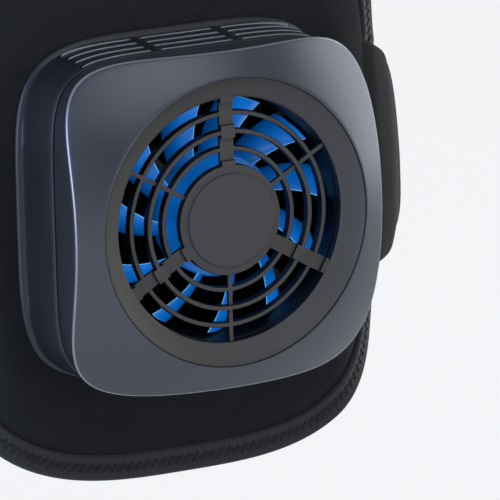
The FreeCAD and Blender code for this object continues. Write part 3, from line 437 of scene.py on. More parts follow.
mouth_rim = float(dome_depth(mouth_radius, 0))
cover_loops = [round_loop(mouth_radius, grille_back + ledge),
               round_loop(mouth_radius, mouth_rim - mouth_round),
               round_loop(mouth_radius + 0.07, mouth_rim - 0.1)]
cover_loops += [face_loop(share) for share in np.linspace(0, 1, 15)]
edge_row = len(cover_loops) - 1
edge_x, edge_z = squircle(face_half, face_power, wall_angles)
edge_depth = dome_depth(edge_x, edge_z)
bevel_x, bevel_z = squircle(face_half - 0.09, face_power, wall_angles)
cover_loops.append(in_front(bevel_x, edge_depth - 0.05, bevel_z))
cover_loops.append(in_front(edge_x, edge_depth - edge_bevel, edge_z))
side_start = parting + groove
side_x, side_z = squircle(side_half, side_power, wall_angles)
for share in np.linspace(0.12, 1, 8):
    cover_loops.append(in_front(between(edge_x, side_x, share),
                                between(edge_depth - edge_bevel, side_start + rim_round, share),
                                between(edge_z, side_z, share)))
cover_loops += [wall_loop(side_half - inset, side_power, depth) for inset, depth in (
    (round_middle, side_start + round_middle), (rim_round, side_start), (tongue_inset, side_start),
    (tongue_inset, tongue_end), (wall, tongue_end))]
inner_x, inner_z = squircle(side_half - wall, side_power, wall_angles)
for share in (0.0, 0.5, 1.0):
    x = between(inner_x, collar_radius * np.cos(bearing), share)
    z = between(inner_z, collar_radius * np.sin(bearing), share)
    cover_loops.append(in_front(x, dome_depth(x, z, -wall), z))
cover_loops += [round_loop(collar_radius, grille_back), round_loop(throat_radius, grille_back),
                round_loop(throat_radius, grille_back + ledge)]
cover = add_piece("pod_front_half", *skin(cover_loops), [cover_abs, highlight_abs], "cover_plastic",
                  ["front_cover"], crease=42)
# The two rows at the face's edge take the lighter grey of the painted highlight.
for face in cover.data.polygons:
    if face.index // columns in (edge_row, edge_row + 1):
        face.material_index = 1


# --------------------------------------------------------------------------- grille
# One moulding in a warmer grey: a dished rim, three rings, three broad stepped
# spokes, three thin ones and a hub. A plain disc is set on the hub.

opening = 33.0
grille_front = 33.0
rim_radius = 38.73
ring_first, ring_pitch, ring_width, ring_depth = 19.0, 4.8, 1.25, 2.4
low_front = 31.9                     # the first and last ring and the thin spokes lie further back
hub_radius = 14.9
cap_radius, cap_height = 12.6, 0.9
broad_spoke, thin_spoke = 4.1, 1.2
notch_half = 3.05
dish_sag = 0.35
near_axle = 0.02                     # discs start just off the axle
# ABS with no metal in it, a little warmer and rougher than the cover.
grille_abs = moulded("warm_grey_abs_grille", "#4b4a4a", 0.58, 0.5, 0.012)


def turned(profile):
    """A ring or disc about the fan's axle from (radius, depth) corners."""
    angles = np.linspace(0, 2 * np.pi, 192, endpoint=False)
    return skin([in_front(radius * np.cos(angles), depth, radius * np.sin(angles))
                 for radius, depth in profile])


rim_top = mouth_rim - 0.3
rim_profile = [(rim_radius, grille_back + ledge + 0.05), (rim_radius, rim_top - 0.2),
               (rim_radius - 0.06, rim_top - 0.07), (rim_radius - 0.22, rim_top - 0.05)]
rim_profile += [(between(rim_radius, opening, share),
                 between(rim_top, grille_front, share) - dish_sag * math.sin(math.pi * share))
                for share in np.linspace(0.1, 0.92, 8)]
rim_profile += [(opening + 0.3, grille_front + 0.02), (opening + 0.08, grille_front - 0.12),
                (opening, grille_front - 0.4), (opening, grille_back + 0.02),
                (throat_radius - 0.12, grille_back + 0.02),
                (throat_radius - 0.12, grille_back + ledge + 0.05)]
grille_parts = [turned(rim_profile)]


def bar_section(width, low, high, corner):
    """A bar that is square behind, with its front corners set in, across and down, by some points."""
    left = [(-width / 2, low)] + [(across - width / 2, high - down) for across, down in corner]
    return np.array(left + [(-across, depth) for across, depth in left[::-1]])


ring_sink = 0.05                     # the rings lie just under the spokes that cross them
ring_round = 0.28
ring_corner = [(ring_round * (1 - math.cos(a)), ring_round * (1 - math.sin(a)))
               for a in np.linspace(0, math.pi / 2, 4)]
for index, level_front in enumerate((low_front, grille_front, low_front)):
    ring_front = level_front - ring_sink
    section = bar_section(ring_width, ring_front - ring_depth, ring_front, ring_corner)
    grille_parts.append(turned(section + (ring_first + ring_pitch * index, 0)))
grille_parts.append(turned([(near_axle, grille_back), (hub_radius, grille_back),
                            (hub_radius, grille_front - 0.5), (hub_radius - 0.15, grille_front - 0.18),
                            (hub_radius - 0.5, grille_front - 0.03), (hub_radius - 0.9, grille_front),
                            (near_axle, grille_front)]))


def spoke_bar(angle, width, inner, outer, low, high, softness=0.2):
    """A radial bar whose front edges are softened."""
    corner = [(0, softness), (0.3 * softness, 0.3 * softness), (softness, 0)]
    across, depth = bar_section(width, low, high, corner).T
    c, s = math.cos(math.radians(angle)), math.sin(math.radians(angle))
    return skin([in_front(reach * c - across * s, depth, reach * s + across * c) for reach in (inner, outer)],
                closed=False, ends=True)


spoke_root = 0.4                     # length that a spoke runs into the hub and the rim
start, end = hub_radius - spoke_root, opening + spoke_root
notches = [ring_first + ring_pitch * index + side * notch_half for index in (0, 2) for side in (-1, 1)]
edges = [start, *notches, end]
for turn in (90, 210, 330):
    grille_parts.append(spoke_bar(turn, broad_spoke, start, end, grille_back + 0.1, low_front, 0.12))
    for inner, outer in zip(edges[0::2], edges[1::2]):
        grille_parts.append(spoke_bar(turn, broad_spoke, inner, outer, low_front - 0.3, grille_front))
    grille_parts.append(spoke_bar(turn + 60, thin_spoke, start, end, grille_back + 0.1, low_front))
# The grille's walls and chamfers that turn away from the front are painted near black as painted shade; the
# faces that look forward keep the grey.
shade_painted_abs = moulded("painted_shade_grille_walls", "#0a0a0b", 0.5, 0.5, 0.012)
grille = add_piece("grille_rings_and_spokes", *joined(*grille_parts), [grille_abs, shade_painted_abs],
                   "grille_plastic", ["fan_grille"])
painted_shade_limit = 0.75                   # a face that turns further from the front than this gets the painted shade
# Faces within the opening that turn away from the front get the painted shade.
for face in grille.data.polygons:
    within = math.hypot(face.center.x, face.center.z) * 1000 < opening + 0.2
    face.material_index = 1 if within and -face.normal.y < painted_shade_limit else 0

cap_top = grille_front + cap_height
# The disc is turned from the same ABS and left plain.
cap_abs = moulded("warm_grey_abs_disc", "#48494b", 0.56, 0.6, 0.008)
disc = turned([(near_axle, grille_front), (cap_radius, grille_front), (cap_radius, cap_top - 0.5),
               (cap_radius - 0.12, cap_top - 0.2), (cap_radius - 0.4, cap_top - 0.04),
               (cap_radius - 0.8, cap_top), (near_axle, cap_top)])
add_piece("hub_disc", *disc, [cap_abs], "grille_plastic", ["grille_hub_cap"])


# ---------------------------------------------------------------------------- rotor
# Eleven swept blades and their cup in clear blue polycarbonate, lit from the board behind. That light is
# painted into them as a glow that runs through the blades, with a brighter painted glow at their thin edges.

blade_count = 11
rotor_back, rotor_front = 19.7, 26.5
cup_radius = 16.5
blade_phase = 25.1
blade_sweep = 17
root_chord, tip_chord = 8.1, 10.8
root_pitch, tip_pitch = 57, 39
blade_tip = 31.6
blade_thickness, blade_rim = 1.2, 0.16
blade_rows, chord_points = 8, 9
fully_lit = 31.0                     # radius at which the blades are brightest


def glow_painted_polycarbonate(name, colour, light, strength, roughness):
    """Tinted polycarbonate, polished, with a painted glow for the light from the board that falls off inward
    and backward as painted shade.
    """
    material, tree = blank_material(name)
    place = add_node(tree, "TexCoord").outputs["Object"]
    spot = add_node(tree, "SeparateXYZ", {"Vector": place})
    flat = add_node(tree, "CombineXYZ", {"X": spot.outputs["X"], "Z": spot.outputs["Z"]})
    radius = add_node(tree, "VectorMath", {0: flat.outputs[0]}, operation="LENGTH")
    reach = add_node(tree, "MapRange", {"Value": radius.outputs["Value"], "From Min": cup_radius / 1000,
                                        "From Max": fully_lit / 1000, "To Min": 0.6, "To Max": 1.0})
    ahead = add_node(tree, "MapRange", {
        "Value": spot.outputs["Y"], "From Min": -(front_plane + rotor_back) / 1000,
        "From Max": -(front_plane + rotor_front) / 1000, "To Min": 0.2, "To Max": 1.0})
    streaks = add_node(tree, "TexNoise", {"Vector": place, "Scale": 1000 / 9, "Detail": 2})
    flow = add_node(tree, "MapRange", {"Value": streaks.outputs["Fac"], "From Min": 0.3, "From Max": 0.7,
                                       "To Min": 0.72, "To Max": 1.12})
    lit = reach.outputs[0]
    for factor in (flow.outputs[0], ahead.outputs[0], strength):
        lit = add_node(tree, "Math", {0: lit, 1: factor}, operation="MULTIPLY").outputs[0]
    shader = add_node(tree, "BsdfPrincipled", {
        "Base Color": paint(colour), "Roughness": roughness, "IOR": 1.585, "Emission Color": paint(light),
        "Emission Strength": lit})
    add_node(tree, "OutputMaterial", {"Surface": shader.outputs[0]})
    return material


blade_blue = glow_painted_polycarbonate("blue_polycarbonate_painted_glow", "#02244a", "#0577e0", 0.8, 0.35)
blade_edge_glow = glow_painted_polycarbonate("blue_polycarbonate_painted_edge_glow", "#1a78c0", "#5cc4ff", 0.9, 0.3)


def blade(start_angle):
    """One twisted, slightly cambered blade, as loops from its root to its tip."""
    chord_share = np.cos(np.linspace(0, np.pi, chord_points)) / 2
    loops = []
    middle = (rotor_back + rotor_front) / 2
    for share in np.linspace(0, 1, blade_rows):
        radius = between(cup_radius - 0.6, blade_tip, share)
        chord = between(root_chord, tip_chord, share)
        pitch = math.radians(between(root_pitch, tip_pitch, share))
        angle = math.radians(start_angle - blade_sweep * share)
        camber = 0.05 * chord * (1 - 4 * chord_share ** 2)
        body = blade_thickness / 2 * (1 - np.abs(2 * chord_share) ** 3) + blade_rim
        along = np.concatenate([chord_share, chord_share[::-1]]) * chord
        over = np.concatenate([camber + body, (camber - body)[::-1]])
        round_way = along * math.cos(pitch) + over * math.sin(pitch)
        depth = np.clip(middle - along * math.sin(pitch) + over * math.cos(pitch), rotor_back, rotor_front)
        swing = angle + round_way / radius
        loops.append(in_front(radius * np.cos(swing), depth, radius * np.sin(swing)))
    return skin(loops, closed=False, ends=True)


blade_angles = [blade_phase + 360 / blade_count * index for index in range(blade_count)]
cup_wall = 1.1
cup_parts = turned([(near_axle, rotor_front - cup_wall), (cup_radius - cup_wall, rotor_front - cup_wall),
                    (cup_radius - cup_wall, rotor_back), (cup_radius, rotor_back),
                    (cup_radius, rotor_front - 0.5), (cup_radius - 0.5, rotor_front),
                    (near_axle, rotor_front)])
rotor = add_piece("fan_blades", *joined(cup_parts, *[blade(angle) for angle in blade_angles]),
                  [blade_blue, blade_edge_glow], "blade_plastic", ["fan_rotor"], body="rotor", crease=30)
cup_faces = len(cup_parts[1])
round_blade = 2 * chord_points
side_faces = (blade_rows - 1) * round_blade
# Faces along the blades' thin edges and ends get the brighter painted glow.
for face in rotor.data.polygons:
    spot = (face.index - cup_faces) % (side_faces + 2)
    at_edge = spot >= side_faces or spot % round_blade in (chord_points - 1, round_blade - 1)
    face.material_index = 1 if face.index >= cup_faces and at_edge else 0


# ------------------------------------------------------------------------- soft wrap
# A neoprene-like foam laminate. Its front is flat under the pod, bends back round the
# limb on both sides and runs on as two straps that overlap behind.

flat_half = 47.0                     # where the bend starts
panel_reach = {1: 68.2, -1: 74.0}    # to the right and to the left on the flat cloth
panel_rise = 76.3
upper_power = 4.6                    # the outline is squarer above than below
lower_power = {1: 3.3, -1: 2.9}
fabric, lining = 3.0, 6.0
bend_middle, bend_easing = 37.0, 3.1 # radius of the bend behind the wing, and less of it higher up
bend_ends, bend_spread = 22.3, 0.06  # the same beyond the wing, and what each mm of height adds
wing_pull = 30                       # height within which the wing widens the bend
worn_from, worn_over = 84, 40        # where the front's bend passes into the worn loop
behind_start = 103.5                 # developed distance at which the wrap faces straight sideways
rear_radius = {1: 85.8, -1: 80.2}
rear_centre = -2.8
strap_corner = 8.0
strap_end = {side: behind_start + rear_radius[side] * math.radians(118) for side in (1, -1)}
strap_start = 57.5
strap_top, strap_bottom = 27.0, -25.0
upper_flare, lower_flare = 0.545, 0.2   # slopes at which the strap's edges part towards the pod
upper_flare_end, lower_flare_end, flare_run = 74.8, 77.0, 24


def smooth(value):
    """0 below zero, 1 above one and a soft rise between."""
    value = np.clip(value, 0, 1)
    return value * value * (3 - 2 * value)


def wrap_line(along, up):
    """The outer face of the wrap at a developed distance along it and a height."""
    side = np.where(along < 0, -1.0, 1.0)
    reach = np.abs(along)
    behind_wing = bend_middle - bend_easing * smooth((up + 5) / 28)
    radius = between(bend_ends + bend_spread * up, behind_wing, np.exp(-np.abs(up / wing_pull) ** 5))
    turn = np.clip((reach - flat_half) / radius, 0, np.pi / 2)
    past = np.maximum(reach - flat_half - radius * np.pi / 2, 0)
    front_x = np.minimum(reach, flat_half) + radius * np.sin(turn)
    front_y = -front_plane + radius * (1 - np.cos(turn)) + past
    outer_turn = np.clip((reach - flat_half) / front_plane, 0, np.pi / 2)
    bend_x = np.minimum(reach, flat_half) + front_plane * np.sin(outer_turn)
    bend_y = -front_plane * np.cos(outer_turn)
    behind = np.where(side > 0, rear_radius[1], rear_radius[-1])
    swing = np.maximum(reach - behind_start, 0) / behind
    worn_x = np.where(reach > behind_start, side * rear_centre + behind * np.cos(swing), bend_x)
    worn_y = np.where(reach > behind_start, behind * np.sin(swing), bend_y)
    share = smooth((reach - worn_from) / worn_over)
    x, y = side * between(front_x, worn_x, share), between(front_y, worn_y, share)
    return np.stack(np.broadcast_arrays(x, y, up), axis=-1)


def unit(ways):
    """Directions, each made one long."""
    return ways / np.linalg.norm(ways, axis=-1, keepdims=True)


def on_wrap(along, up, lift):
    """Points at a height above the wrap's outer face, measured square to it."""
    along, up, lift = np.broadcast_arrays(np.asarray(along, float), up, lift)
    step = 0.25
    side_way = wrap_line(along + step, up) - wrap_line(along - step, up)
    up_way = wrap_line(along, up + step) - wrap_line(along, up - step)
    return wrap_line(along, up) + unit(np.cross(side_way, up_way)) * lift[..., None]


def eased_ramp(value, ease):
    """Zero below zero and a straight rise above, with a soft turn between."""
    return (value + np.sqrt(value ** 2 + ease ** 2)) / 2


def strap_edges(reach, side):
    """Heights of a strap's two edges: it flares towards the pod and has a round free end."""
    over = np.clip(reach - (strap_end[side] - strap_corner), 0, strap_corner)
    rounding = strap_corner - np.sqrt(strap_corner ** 2 - over ** 2)
    high = strap_top + upper_flare * eased_ramp(np.minimum(upper_flare_end - reach, flare_run), 3) - rounding
    low = strap_bottom - lower_flare * eased_ramp(lower_flare_end - reach, 4) + rounding
    return low, high


def panel_line(inset, count):
    """The panel's outline on the flat cloth, drawn in by an inset, as a closed line."""
    turns = even_angles(upper_power, count)
    c, s = np.cos(turns), np.sin(turns)
    power = 2 / np.where(s > 0, upper_power, np.where(c > 0, lower_power[1], lower_power[-1]))
    reach = np.where(c > 0, panel_reach[1], panel_reach[-1]) - inset
    return np.stack([reach * np.sign(c) * np.abs(c) ** power,
                     (panel_rise - inset) * np.sign(s) * np.abs(s) ** power], axis=1)


def at_marks(marks, run, line):
    """What a line, or a value kept along it, is at some distances along it."""
    return np.stack([np.interp(marks, run, line[:, axis]) for axis in (0, 1)], axis=1)


def spaced(points, spacing):
    """A line's points set an even distance apart."""
    points = np.array(points)
    run = run_along(points)
    return at_marks(np.linspace(0, run[-1], max(2, int(round(run[-1] / spacing))) + 1), run, points)


def add_cloth(name, slab, finish, slot, replaced=(), crease=60):
    """Add a piece of cloth that keeps its points' places when flat, for the weave to follow."""
    points, faces, flat = slab
    piece = add_piece(name, points, faces, [finish], slot, replaced, crease=crease)
    layer = piece.data.uv_layers.new(name="cloth")
    for loop in piece.data.loops:
        layer.data[loop.index].uv = flat[loop.vertex_index] / 1000
    return piece


def crossed_ridges(tree, flat, spacing, wander_x, wander_y, fineness=1.0):
    """Two crossing sets of ridges, so many millimetres apart. A wave repeats every 2 pi / 20."""
    ridges = {}
    for way, wander, detail in (("X", wander_x, fineness), ("Y", wander_y, 1.0)):
        ridges[way] = add_node(tree, "TexWave", {
            "Vector": flat, "Scale": 2 * math.pi / 20 * 1000 / spacing, "Distortion": wander,
            "Detail Scale": detail}, bands_direction=way).outputs["Fac"]
    return add_node(tree, "Math", {0: ridges["X"], 1: ridges["Y"]}, operation="MULTIPLY").outputs[0]


# Polyamide knit laminated to foam: matt black, with fine upright wales. They are
# 0.35 mm apart on the real cloth and are drawn at 1.2 mm, with the soft mottle of lint.
wale_spacing = 1.2


def knitted(name, colour):
    material, tree = blank_material(name)
    flat = add_node(tree, "UVMap", uv_map="cloth").outputs["UV"]
    stitch = crossed_ridges(tree, flat, wale_spacing, 3.0, 4.0, fineness=2.0)
    fluff = add_node(tree, "TexNoise", {"Vector": flat, "Scale": 1000 / 7, "Detail": 5})
    lint = add_node(tree, "TexNoise", {"Vector": flat, "Scale": 1000 / 1.3, "Detail": 3})
    faint = add_node(tree, "Math", {0: stitch, 1: 0.35}, operation="MULTIPLY")
    cloud = add_node(tree, "Math", {0: lint.outputs["Fac"], 1: fluff.outputs["Fac"]}, operation="ADD")
    tone = add_node(tree, "Math", {0: faint.outputs[0], 1: cloud.outputs[0]}, operation="ADD")
    spread = add_node(tree, "MapRange", {"Value": tone.outputs[0], "From Min": 0.75, "From Max": 1.45})
    shade = add_node(tree, "MixRGB", {"Fac": spread.outputs[0], **tones(colour, 0.75, 1.3)})
    high = add_node(tree, "Math", {0: faint.outputs[0], 1: lint.outputs["Fac"]}, operation="ADD")
    bump = add_node(tree, "Bump", {"Height": high.outputs[0], "Strength": 0.6, "Distance": 0.00008})
    shader = add_node(tree, "BsdfPrincipled", {
        "Base Color": shade.outputs[0], "Roughness": 0.95, "IOR": 1.4, "Sheen Weight": 0.06,
        "Sheen Roughness": 0.5, "Normal": bump.outputs[0]})
    add_node(tree, "OutputMaterial", {"Surface": shader.outputs[0]})
    return material


panel_knit = knitted("black_polyamide_knit", "#202226")
# The straps take a copy of the same knit, painted a little lighter as painted light on the wing.
strap_knit_lighter = knitted("black_polyamide_knit_painted_lit_wing", "#232427")


def unevenness(along, up):
    """The slow rise and fall of laminated foam, a fraction of a millimetre."""
    return (0.16 * np.sin(along / 9.3 + 1.1) * np.cos(up / 12.7 + 0.4) + 0.10 * np.sin(along / 5.1 - up / 7.9)
            + 0.12 * np.cos(up / 16.3 - along / 21.0))


def ring_slab(inner, outer, rows, top_lift, bottom_lift):
    """A slab of cloth with a window: rows of points from one outline to another."""
    tops, bottoms, flats = [], [], []
    for share in np.linspace(0, 1, rows):
        flat = between(inner, outer, share)
        tops.append(on_wrap(flat[:, 0], flat[:, 1], top_lift(flat, share)))
        bottoms.append(on_wrap(flat[:, 0], flat[:, 1], bottom_lift(flat, share)))
        flats.append(flat)
    return (*skin(tops + bottoms[::-1]), np.concatenate(flats + flats[::-1]))


def window_in(line, half, power):
    """A superellipse window, with a point at the bearing of each point of a line round it."""
    bearing = np.arctan2(line[:, 1], line[:, 0])
    ray = np.stack([np.cos(bearing), np.sin(bearing)], axis=1)
    return half * ray / (np.abs(ray) ** power).sum(axis=1, keepdims=True) ** (1 / power)


edge_inset = 0.9
panel_shape = panel_line(edge_inset, 320)
pressed_lift = -0.04                 # under the pod's lip
swell_height = 0.75
hem_start, hem_run = 0.885, 0.035    # shares of the way out, where the cloth is drawn in
layer_gap = 0.02                     # the panel and the lining each stop this short of their joint


def panel_top(flat, share):
    """Pressed flat under the pod's lip, swollen beside it and drawn in at the binding."""
    across, up = flat.T
    lip = (np.abs(across / lip_half) ** 4.5 + np.abs(up / lip_half) ** 4.5) ** (1 / 4.5)
    swell = smooth((lip - 1.01) / 0.16)
    drawn = smooth((hem_start - share) / hem_run)
    return pressed_lift + (swell_height + unevenness(across, up)) * swell * drawn


panel_slab = ring_slab(window_in(panel_shape, window_half, 8), panel_shape, 44, panel_top,
                       lambda flat, share: -fabric + layer_gap)
panel = add_cloth("wrap_front_panel", panel_slab, panel_knit, "knit_fabric", ["outer_panel"])

wing_lift, wing_gain = 0.12, 0.3     # of a strap's outer face above the panel's
hump_above, hump_below = 1.75, 0.95  # what the bound edge under it lifts its two faces by


def strap_slab(side):
    """A strap: thin where it lies over the panel and its bound edge, full beyond."""
    end, edge = strap_end[side], panel_reach[side] + 1
    reach = np.concatenate([np.linspace(strap_start, 90, 40)[:-1],
                            np.linspace(90, end - strap_corner, 90)[:-1],
                            end - strap_corner * (1 - np.sin(np.linspace(0, np.pi / 2, 9)))])
    from_edge = np.concatenate([[0, 0.12, 0.4, 0.8, 1.3, 2.0, 3.2], np.linspace(5, 25, 11)])
    loops, flats = [], []
    for r in reach:
        low, high = strap_edges(r, side)
        half = (high - low) / 2
        inward = from_edge * min(1, half / 25)
        up = np.concatenate([low + inward, high - inward[::-1][1:]])
        inset = np.minimum(up - low, high - up)
        rounding = np.sqrt(1 - (1 - np.clip(inset / 1.5, 0.02, 1)) ** 2)
        over = smooth((r - strap_start) / 7) * (1 - smooth((r - edge) / 11))
        top = wing_lift + wing_gain * smooth((r - 60) / 20) + hump_above * over
        under = -0.1 - (fabric - 0.1) * smooth((r - edge) / 9) + hump_below * over
        swell = (0.25 + unevenness(r, up)) * smooth(inset / 7) * smooth((r - strap_start) / 6)
        middle, thick = (top + under) / 2, (top - under) / 2
        outer = on_wrap(side * r, up, middle + (thick + swell) * rounding)
        inner = on_wrap(side * r, up, middle - thick * rounding)
        loops.append(np.concatenate([outer, inner[::-1]]))
        flats.append(np.stack([np.full(2 * len(up), side * r), np.concatenate([up, up[::-1]])], axis=1))
    return (*skin(loops, closed=False, ends=True), np.concatenate(flats))


for side, name in ((1, "right_strap"), (-1, "left_strap")):
    strap = add_cloth("wrap_" + name, strap_slab(side), strap_knit_lighter, "knit_fabric", [name])


# ---------------------------------------------------------------------------- lining
# Brushed tricot on a thicker foam, which lies on the skin. It stops at the clamp
# frame's window, and its edge is held in the binding.

def brushed(name, colour, pile, relief, sheen):
    """Brushed tricot: a short, soft pile in which single loops can't be made out."""
    material, tree = blank_material(name)
    flat = add_node(tree, "UVMap", uv_map="cloth").outputs["UV"]
    tufts = add_node(tree, "TexVoronoi", {"Vector": flat, "Scale": 1000 / pile})
    nap = add_node(tree, "TexNoise", {"Vector": flat, "Scale": 1000 / 5, "Detail": 5})
    shade = add_node(tree, "MixRGB", {"Fac": nap.outputs["Fac"], **tones(colour, 0.7, 1.35)})
    high = add_node(tree, "Math", {0: nap.outputs["Fac"], 1: tufts.outputs["Distance"]}, operation="SUBTRACT")
    bump = add_node(tree, "Bump", {"Height": high.outputs[0], "Strength": 0.7, "Distance": relief / 1000})
    shader = add_node(tree, "BsdfPrincipled", {
        "Base Color": shade.outputs[0], "Roughness": 0.97, "IOR": 1.45, "Sheen Weight": sheen,
        "Sheen Roughness": 0.6, "Normal": bump.outputs[0]})
    add_node(tree, "OutputMaterial", {"Surface": shader.outputs[0]})
    return material


brushed_lining = brushed("brushed_tricot_lining", "#222228", 0.8, 0.16, 0.25)
bezel_window = 41.8
lining_outer = panel_line(1.6, 300)
pinch = 0.9                          # what the clamp and the binding press it in by


def lining_back(flat, share):
    edges = smooth(share / 0.12) * smooth((1 - share) / 0.2)
    return -(fabric + lining) + pinch - (pinch + unevenness(*flat.T)) * edges


lining_slab = ring_slab(window_in(lining_outer, bezel_window, 6.5), lining_outer, 22,
                        lambda flat, share: -fabric - layer_gap, lining_back)
lining_pad = add_cloth("wrap_lining", lining_slab, brushed_lining, "lining_fabric", ["liner_pad"])


# ------------------------------------------------------------------------ edge binding
# Woven polyamide tape folded over the raw edge and held by a zigzag seam. The fold
# stands up in a soft ridge along its inner border.

def woven_tape(name, colour, rib):
    """Woven tape: fine ribs across it, a dull gleam on the crowns of the threads."""
    material, tree = blank_material(name)
    flat = add_node(tree, "UVMap", uv_map="cloth").outputs["UV"]
    weave = crossed_ridges(tree, flat, rib, 0.6, 0.4)
    wear = add_node(tree, "TexNoise", {"Vector": flat, "Scale": 1000 / 8, "Detail": 3})
    tone = add_node(tree, "Math", {0: weave, 1: wear.outputs["Fac"]}, operation="ADD")
    spread = add_node(tree, "MapRange", {"Value": tone.outputs[0], "From Min": 0.4, "From Max": 1.4})
    shade = add_node(tree, "MixRGB", {"Fac": spread.outputs[0], **tones(colour, 0.7, 1.3)})
    bump = add_node(tree, "Bump", {"Height": weave, "Strength": 0.5, "Distance": 0.00008})
    shader = add_node(tree, "BsdfPrincipled", {
        "Base Color": shade.outputs[0], "Roughness": 0.78, "IOR": 1.5, "Sheen Weight": 0.2,
        "Sheen Roughness": 0.4, "Normal": bump.outputs[0]})
    add_node(tree, "OutputMaterial", {"Surface": shader.outputs[0]})
    return material


# The ribs are 0.3 mm apart on the real tape and are drawn at 1.4 mm to show. The thread is
# polyester with a coat of resin, black and dull. It is 0.3 mm thick and is drawn at 0.84 mm.
binding_tape = woven_tape("woven_polyamide_tape", "#313338", 1.4)
seam_thread = moulded("bonded_polyester_thread", "#020203", 0.7, 0.3, 0.01)


def outward_of(line):
    """The direction out of the cloth, in its plane, at each point of a closed outline."""
    forward = unit(np.roll(line, -1, axis=0) - np.roll(line, 1, axis=0))
    return np.stack([forward[:, 1], -forward[:, 0]], axis=1)


outline = panel_line(0, 720)
outline = spaced(np.concatenate([outline, outline[:1]]), 1.6)[:-1]
outward = outward_of(outline)
stack = fabric + lining              # cloth inside the fold


def tape_loop(inset, lift, behind):
    """A line along the whole binding, at a lift above the cloth's front or behind its back."""
    place = outline - outward * inset
    low, high = strap_edges(np.abs(place[:, 0]), 1)
    pressed = smooth((place[:, 1] - low) / 2 + 1) * smooth((high - place[:, 1]) / 2 + 1)
    return on_wrap(place[:, 0], place[:, 1], -(stack + lift) if behind else lift * (1 - 0.5 * pressed))


# Insets from the edge and lifts: over the front, round the edge, along the back and inside.
front_section = [(7.0, -0.15), (6.95, 0.55), (6.6, 1.05), (6.1, 1.25), (5.55, 1.15), (5.05, 0.85),
                 (4.5, 0.72), (3.0, 0.72), (1.7, 0.78), (1.2, 0.95), (0.75, 0.9), (0.3, 0.55),
                 (0.05, 0.0), (0.0, -0.8)]
back_section = [(0.0, -0.8), (0.05, 0.0), (0.35, 0.55), (0.9, 0.85), (5.9, 0.88), (6.6, 0.7), (7.0, -0.1),
                (4.0, -0.5)]
tape_section = [(*corner, False) for corner in front_section] + [(*corner, True) for corner in back_section]
tape_section.append((4.0, -0.5, False))
line_length = run_along(outline)
flats = [np.stack([line_length, np.full(len(line_length), -inset - stack if behind else inset)], axis=1)
         for inset, lift, behind in tape_section]
folded_tape = (*skin([tape_loop(*corner) for corner in tape_section]), np.concatenate(flats))
add_cloth("edge_tape", folded_tape, binding_tape, "binding_tape", ["edge_binding"])

seam_pitch, seam_half, seam_middle, seam_lift, thread_radius = 2.5, 1.15, 3.6, 0.72, 0.42


def stitched(lift):
    """A zigzag seam along the binding, as one round thread."""
    closed = np.concatenate([outline, outline[:1]])
    run = run_along(closed)
    count = 2 * int(run[-1] / seam_pitch)
    marks = np.arange(count) * run[-1] / count
    way = at_marks(marks, run, np.concatenate([outward, outward[:1]]))
    inset = seam_middle + seam_half * np.where(np.arange(count) % 2, 1, -1)
    flat = at_marks(marks, run, closed) - way * inset[:, None]
    line = on_wrap(flat[:, 0], flat[:, 1], lift)
    normal = on_wrap(flat[:, 0], flat[:, 1], lift + 1) - line
    forward = np.roll(line, -1, axis=0) - np.roll(line, 1, axis=0)
    beside = unit(np.cross(forward, normal))
    loops = [line + thread_radius * (beside * math.cos(a) + normal * math.sin(a))
             for a in np.linspace(0, 2 * np.pi, 6, endpoint=False)]
    return (*skin(loops), np.concatenate([flat] * len(loops)))


add_cloth("zigzag_seam", stitched(seam_lift), seam_thread, "binding_tape", crease=80)


# --------------------------------------------------------------------- hook and loop
# The closure: a patch of moulded hooks under the end of the right strap and a patch
# of loops on the left one, both sewn on all round.

def patch_slab(side, start, end, low, high, lift_from, lift_to):
    """A patch with round corners that follows a strap."""
    corner = 5.0
    middle = np.array([start + end, low + high]) / 2
    inner = np.array([end - start, high - low]) / 2 - corner
    ring = []
    for quarter, signs in enumerate(((1, 1), (-1, 1), (-1, -1), (1, -1))):
        for a in np.linspace(0, math.pi / 2, 7) + quarter * math.pi / 2:
            ring.append(inner * signs + corner * np.array([math.cos(a), math.sin(a)]))
    ring = spaced(ring + ring[:1], 1.2)[:-1]
    shares = np.linspace(0.02, 1, 24)
    rows = [(share, lift_from) for share in shares] + [(share, lift_to) for share in shares[::-1]]
    flats = [middle + ring * share for share, lift in rows]
    loops = [on_wrap(side * flat[:, 0], flat[:, 1], lift) for flat, (share, lift) in zip(flats, rows)]
    return (*skin(loops), np.concatenate(flats))


hook_black = brushed("moulded_nylon_hooks", "#17181b", 1.6, 0.5, 0.0)
loop_black = brushed("brushed_nylon_loops", "#1b1c20", 1.0, 0.35, 0.4)
patch_margin = 5.0
patch_low, patch_high = strap_bottom + patch_margin, strap_top - patch_margin
for side, name, angles, lifts, finish in (
        (1, "hook_patch", (80, 115), (-fabric - 0.05, -fabric - 1.05), hook_black),
        (-1, "loop_patch", (68, 114), (0.75, 1.45), loop_black)):
    start, end = [behind_start + rear_radius[side] * math.radians(angle) for angle in angles]
    slab = patch_slab(side, start, end, patch_low, patch_high, *lifts)
    add_cloth("closure_" + name, slab, finish, name.split("_")[0] + "_tape", [name], crease=50)


# ------------------------------------------------------------------- carried-over parts
# Everything else keeps its own shape: the clamp and plate on the limb side, the
# buttons and socket, and the cooling parts, fan and controls inside.

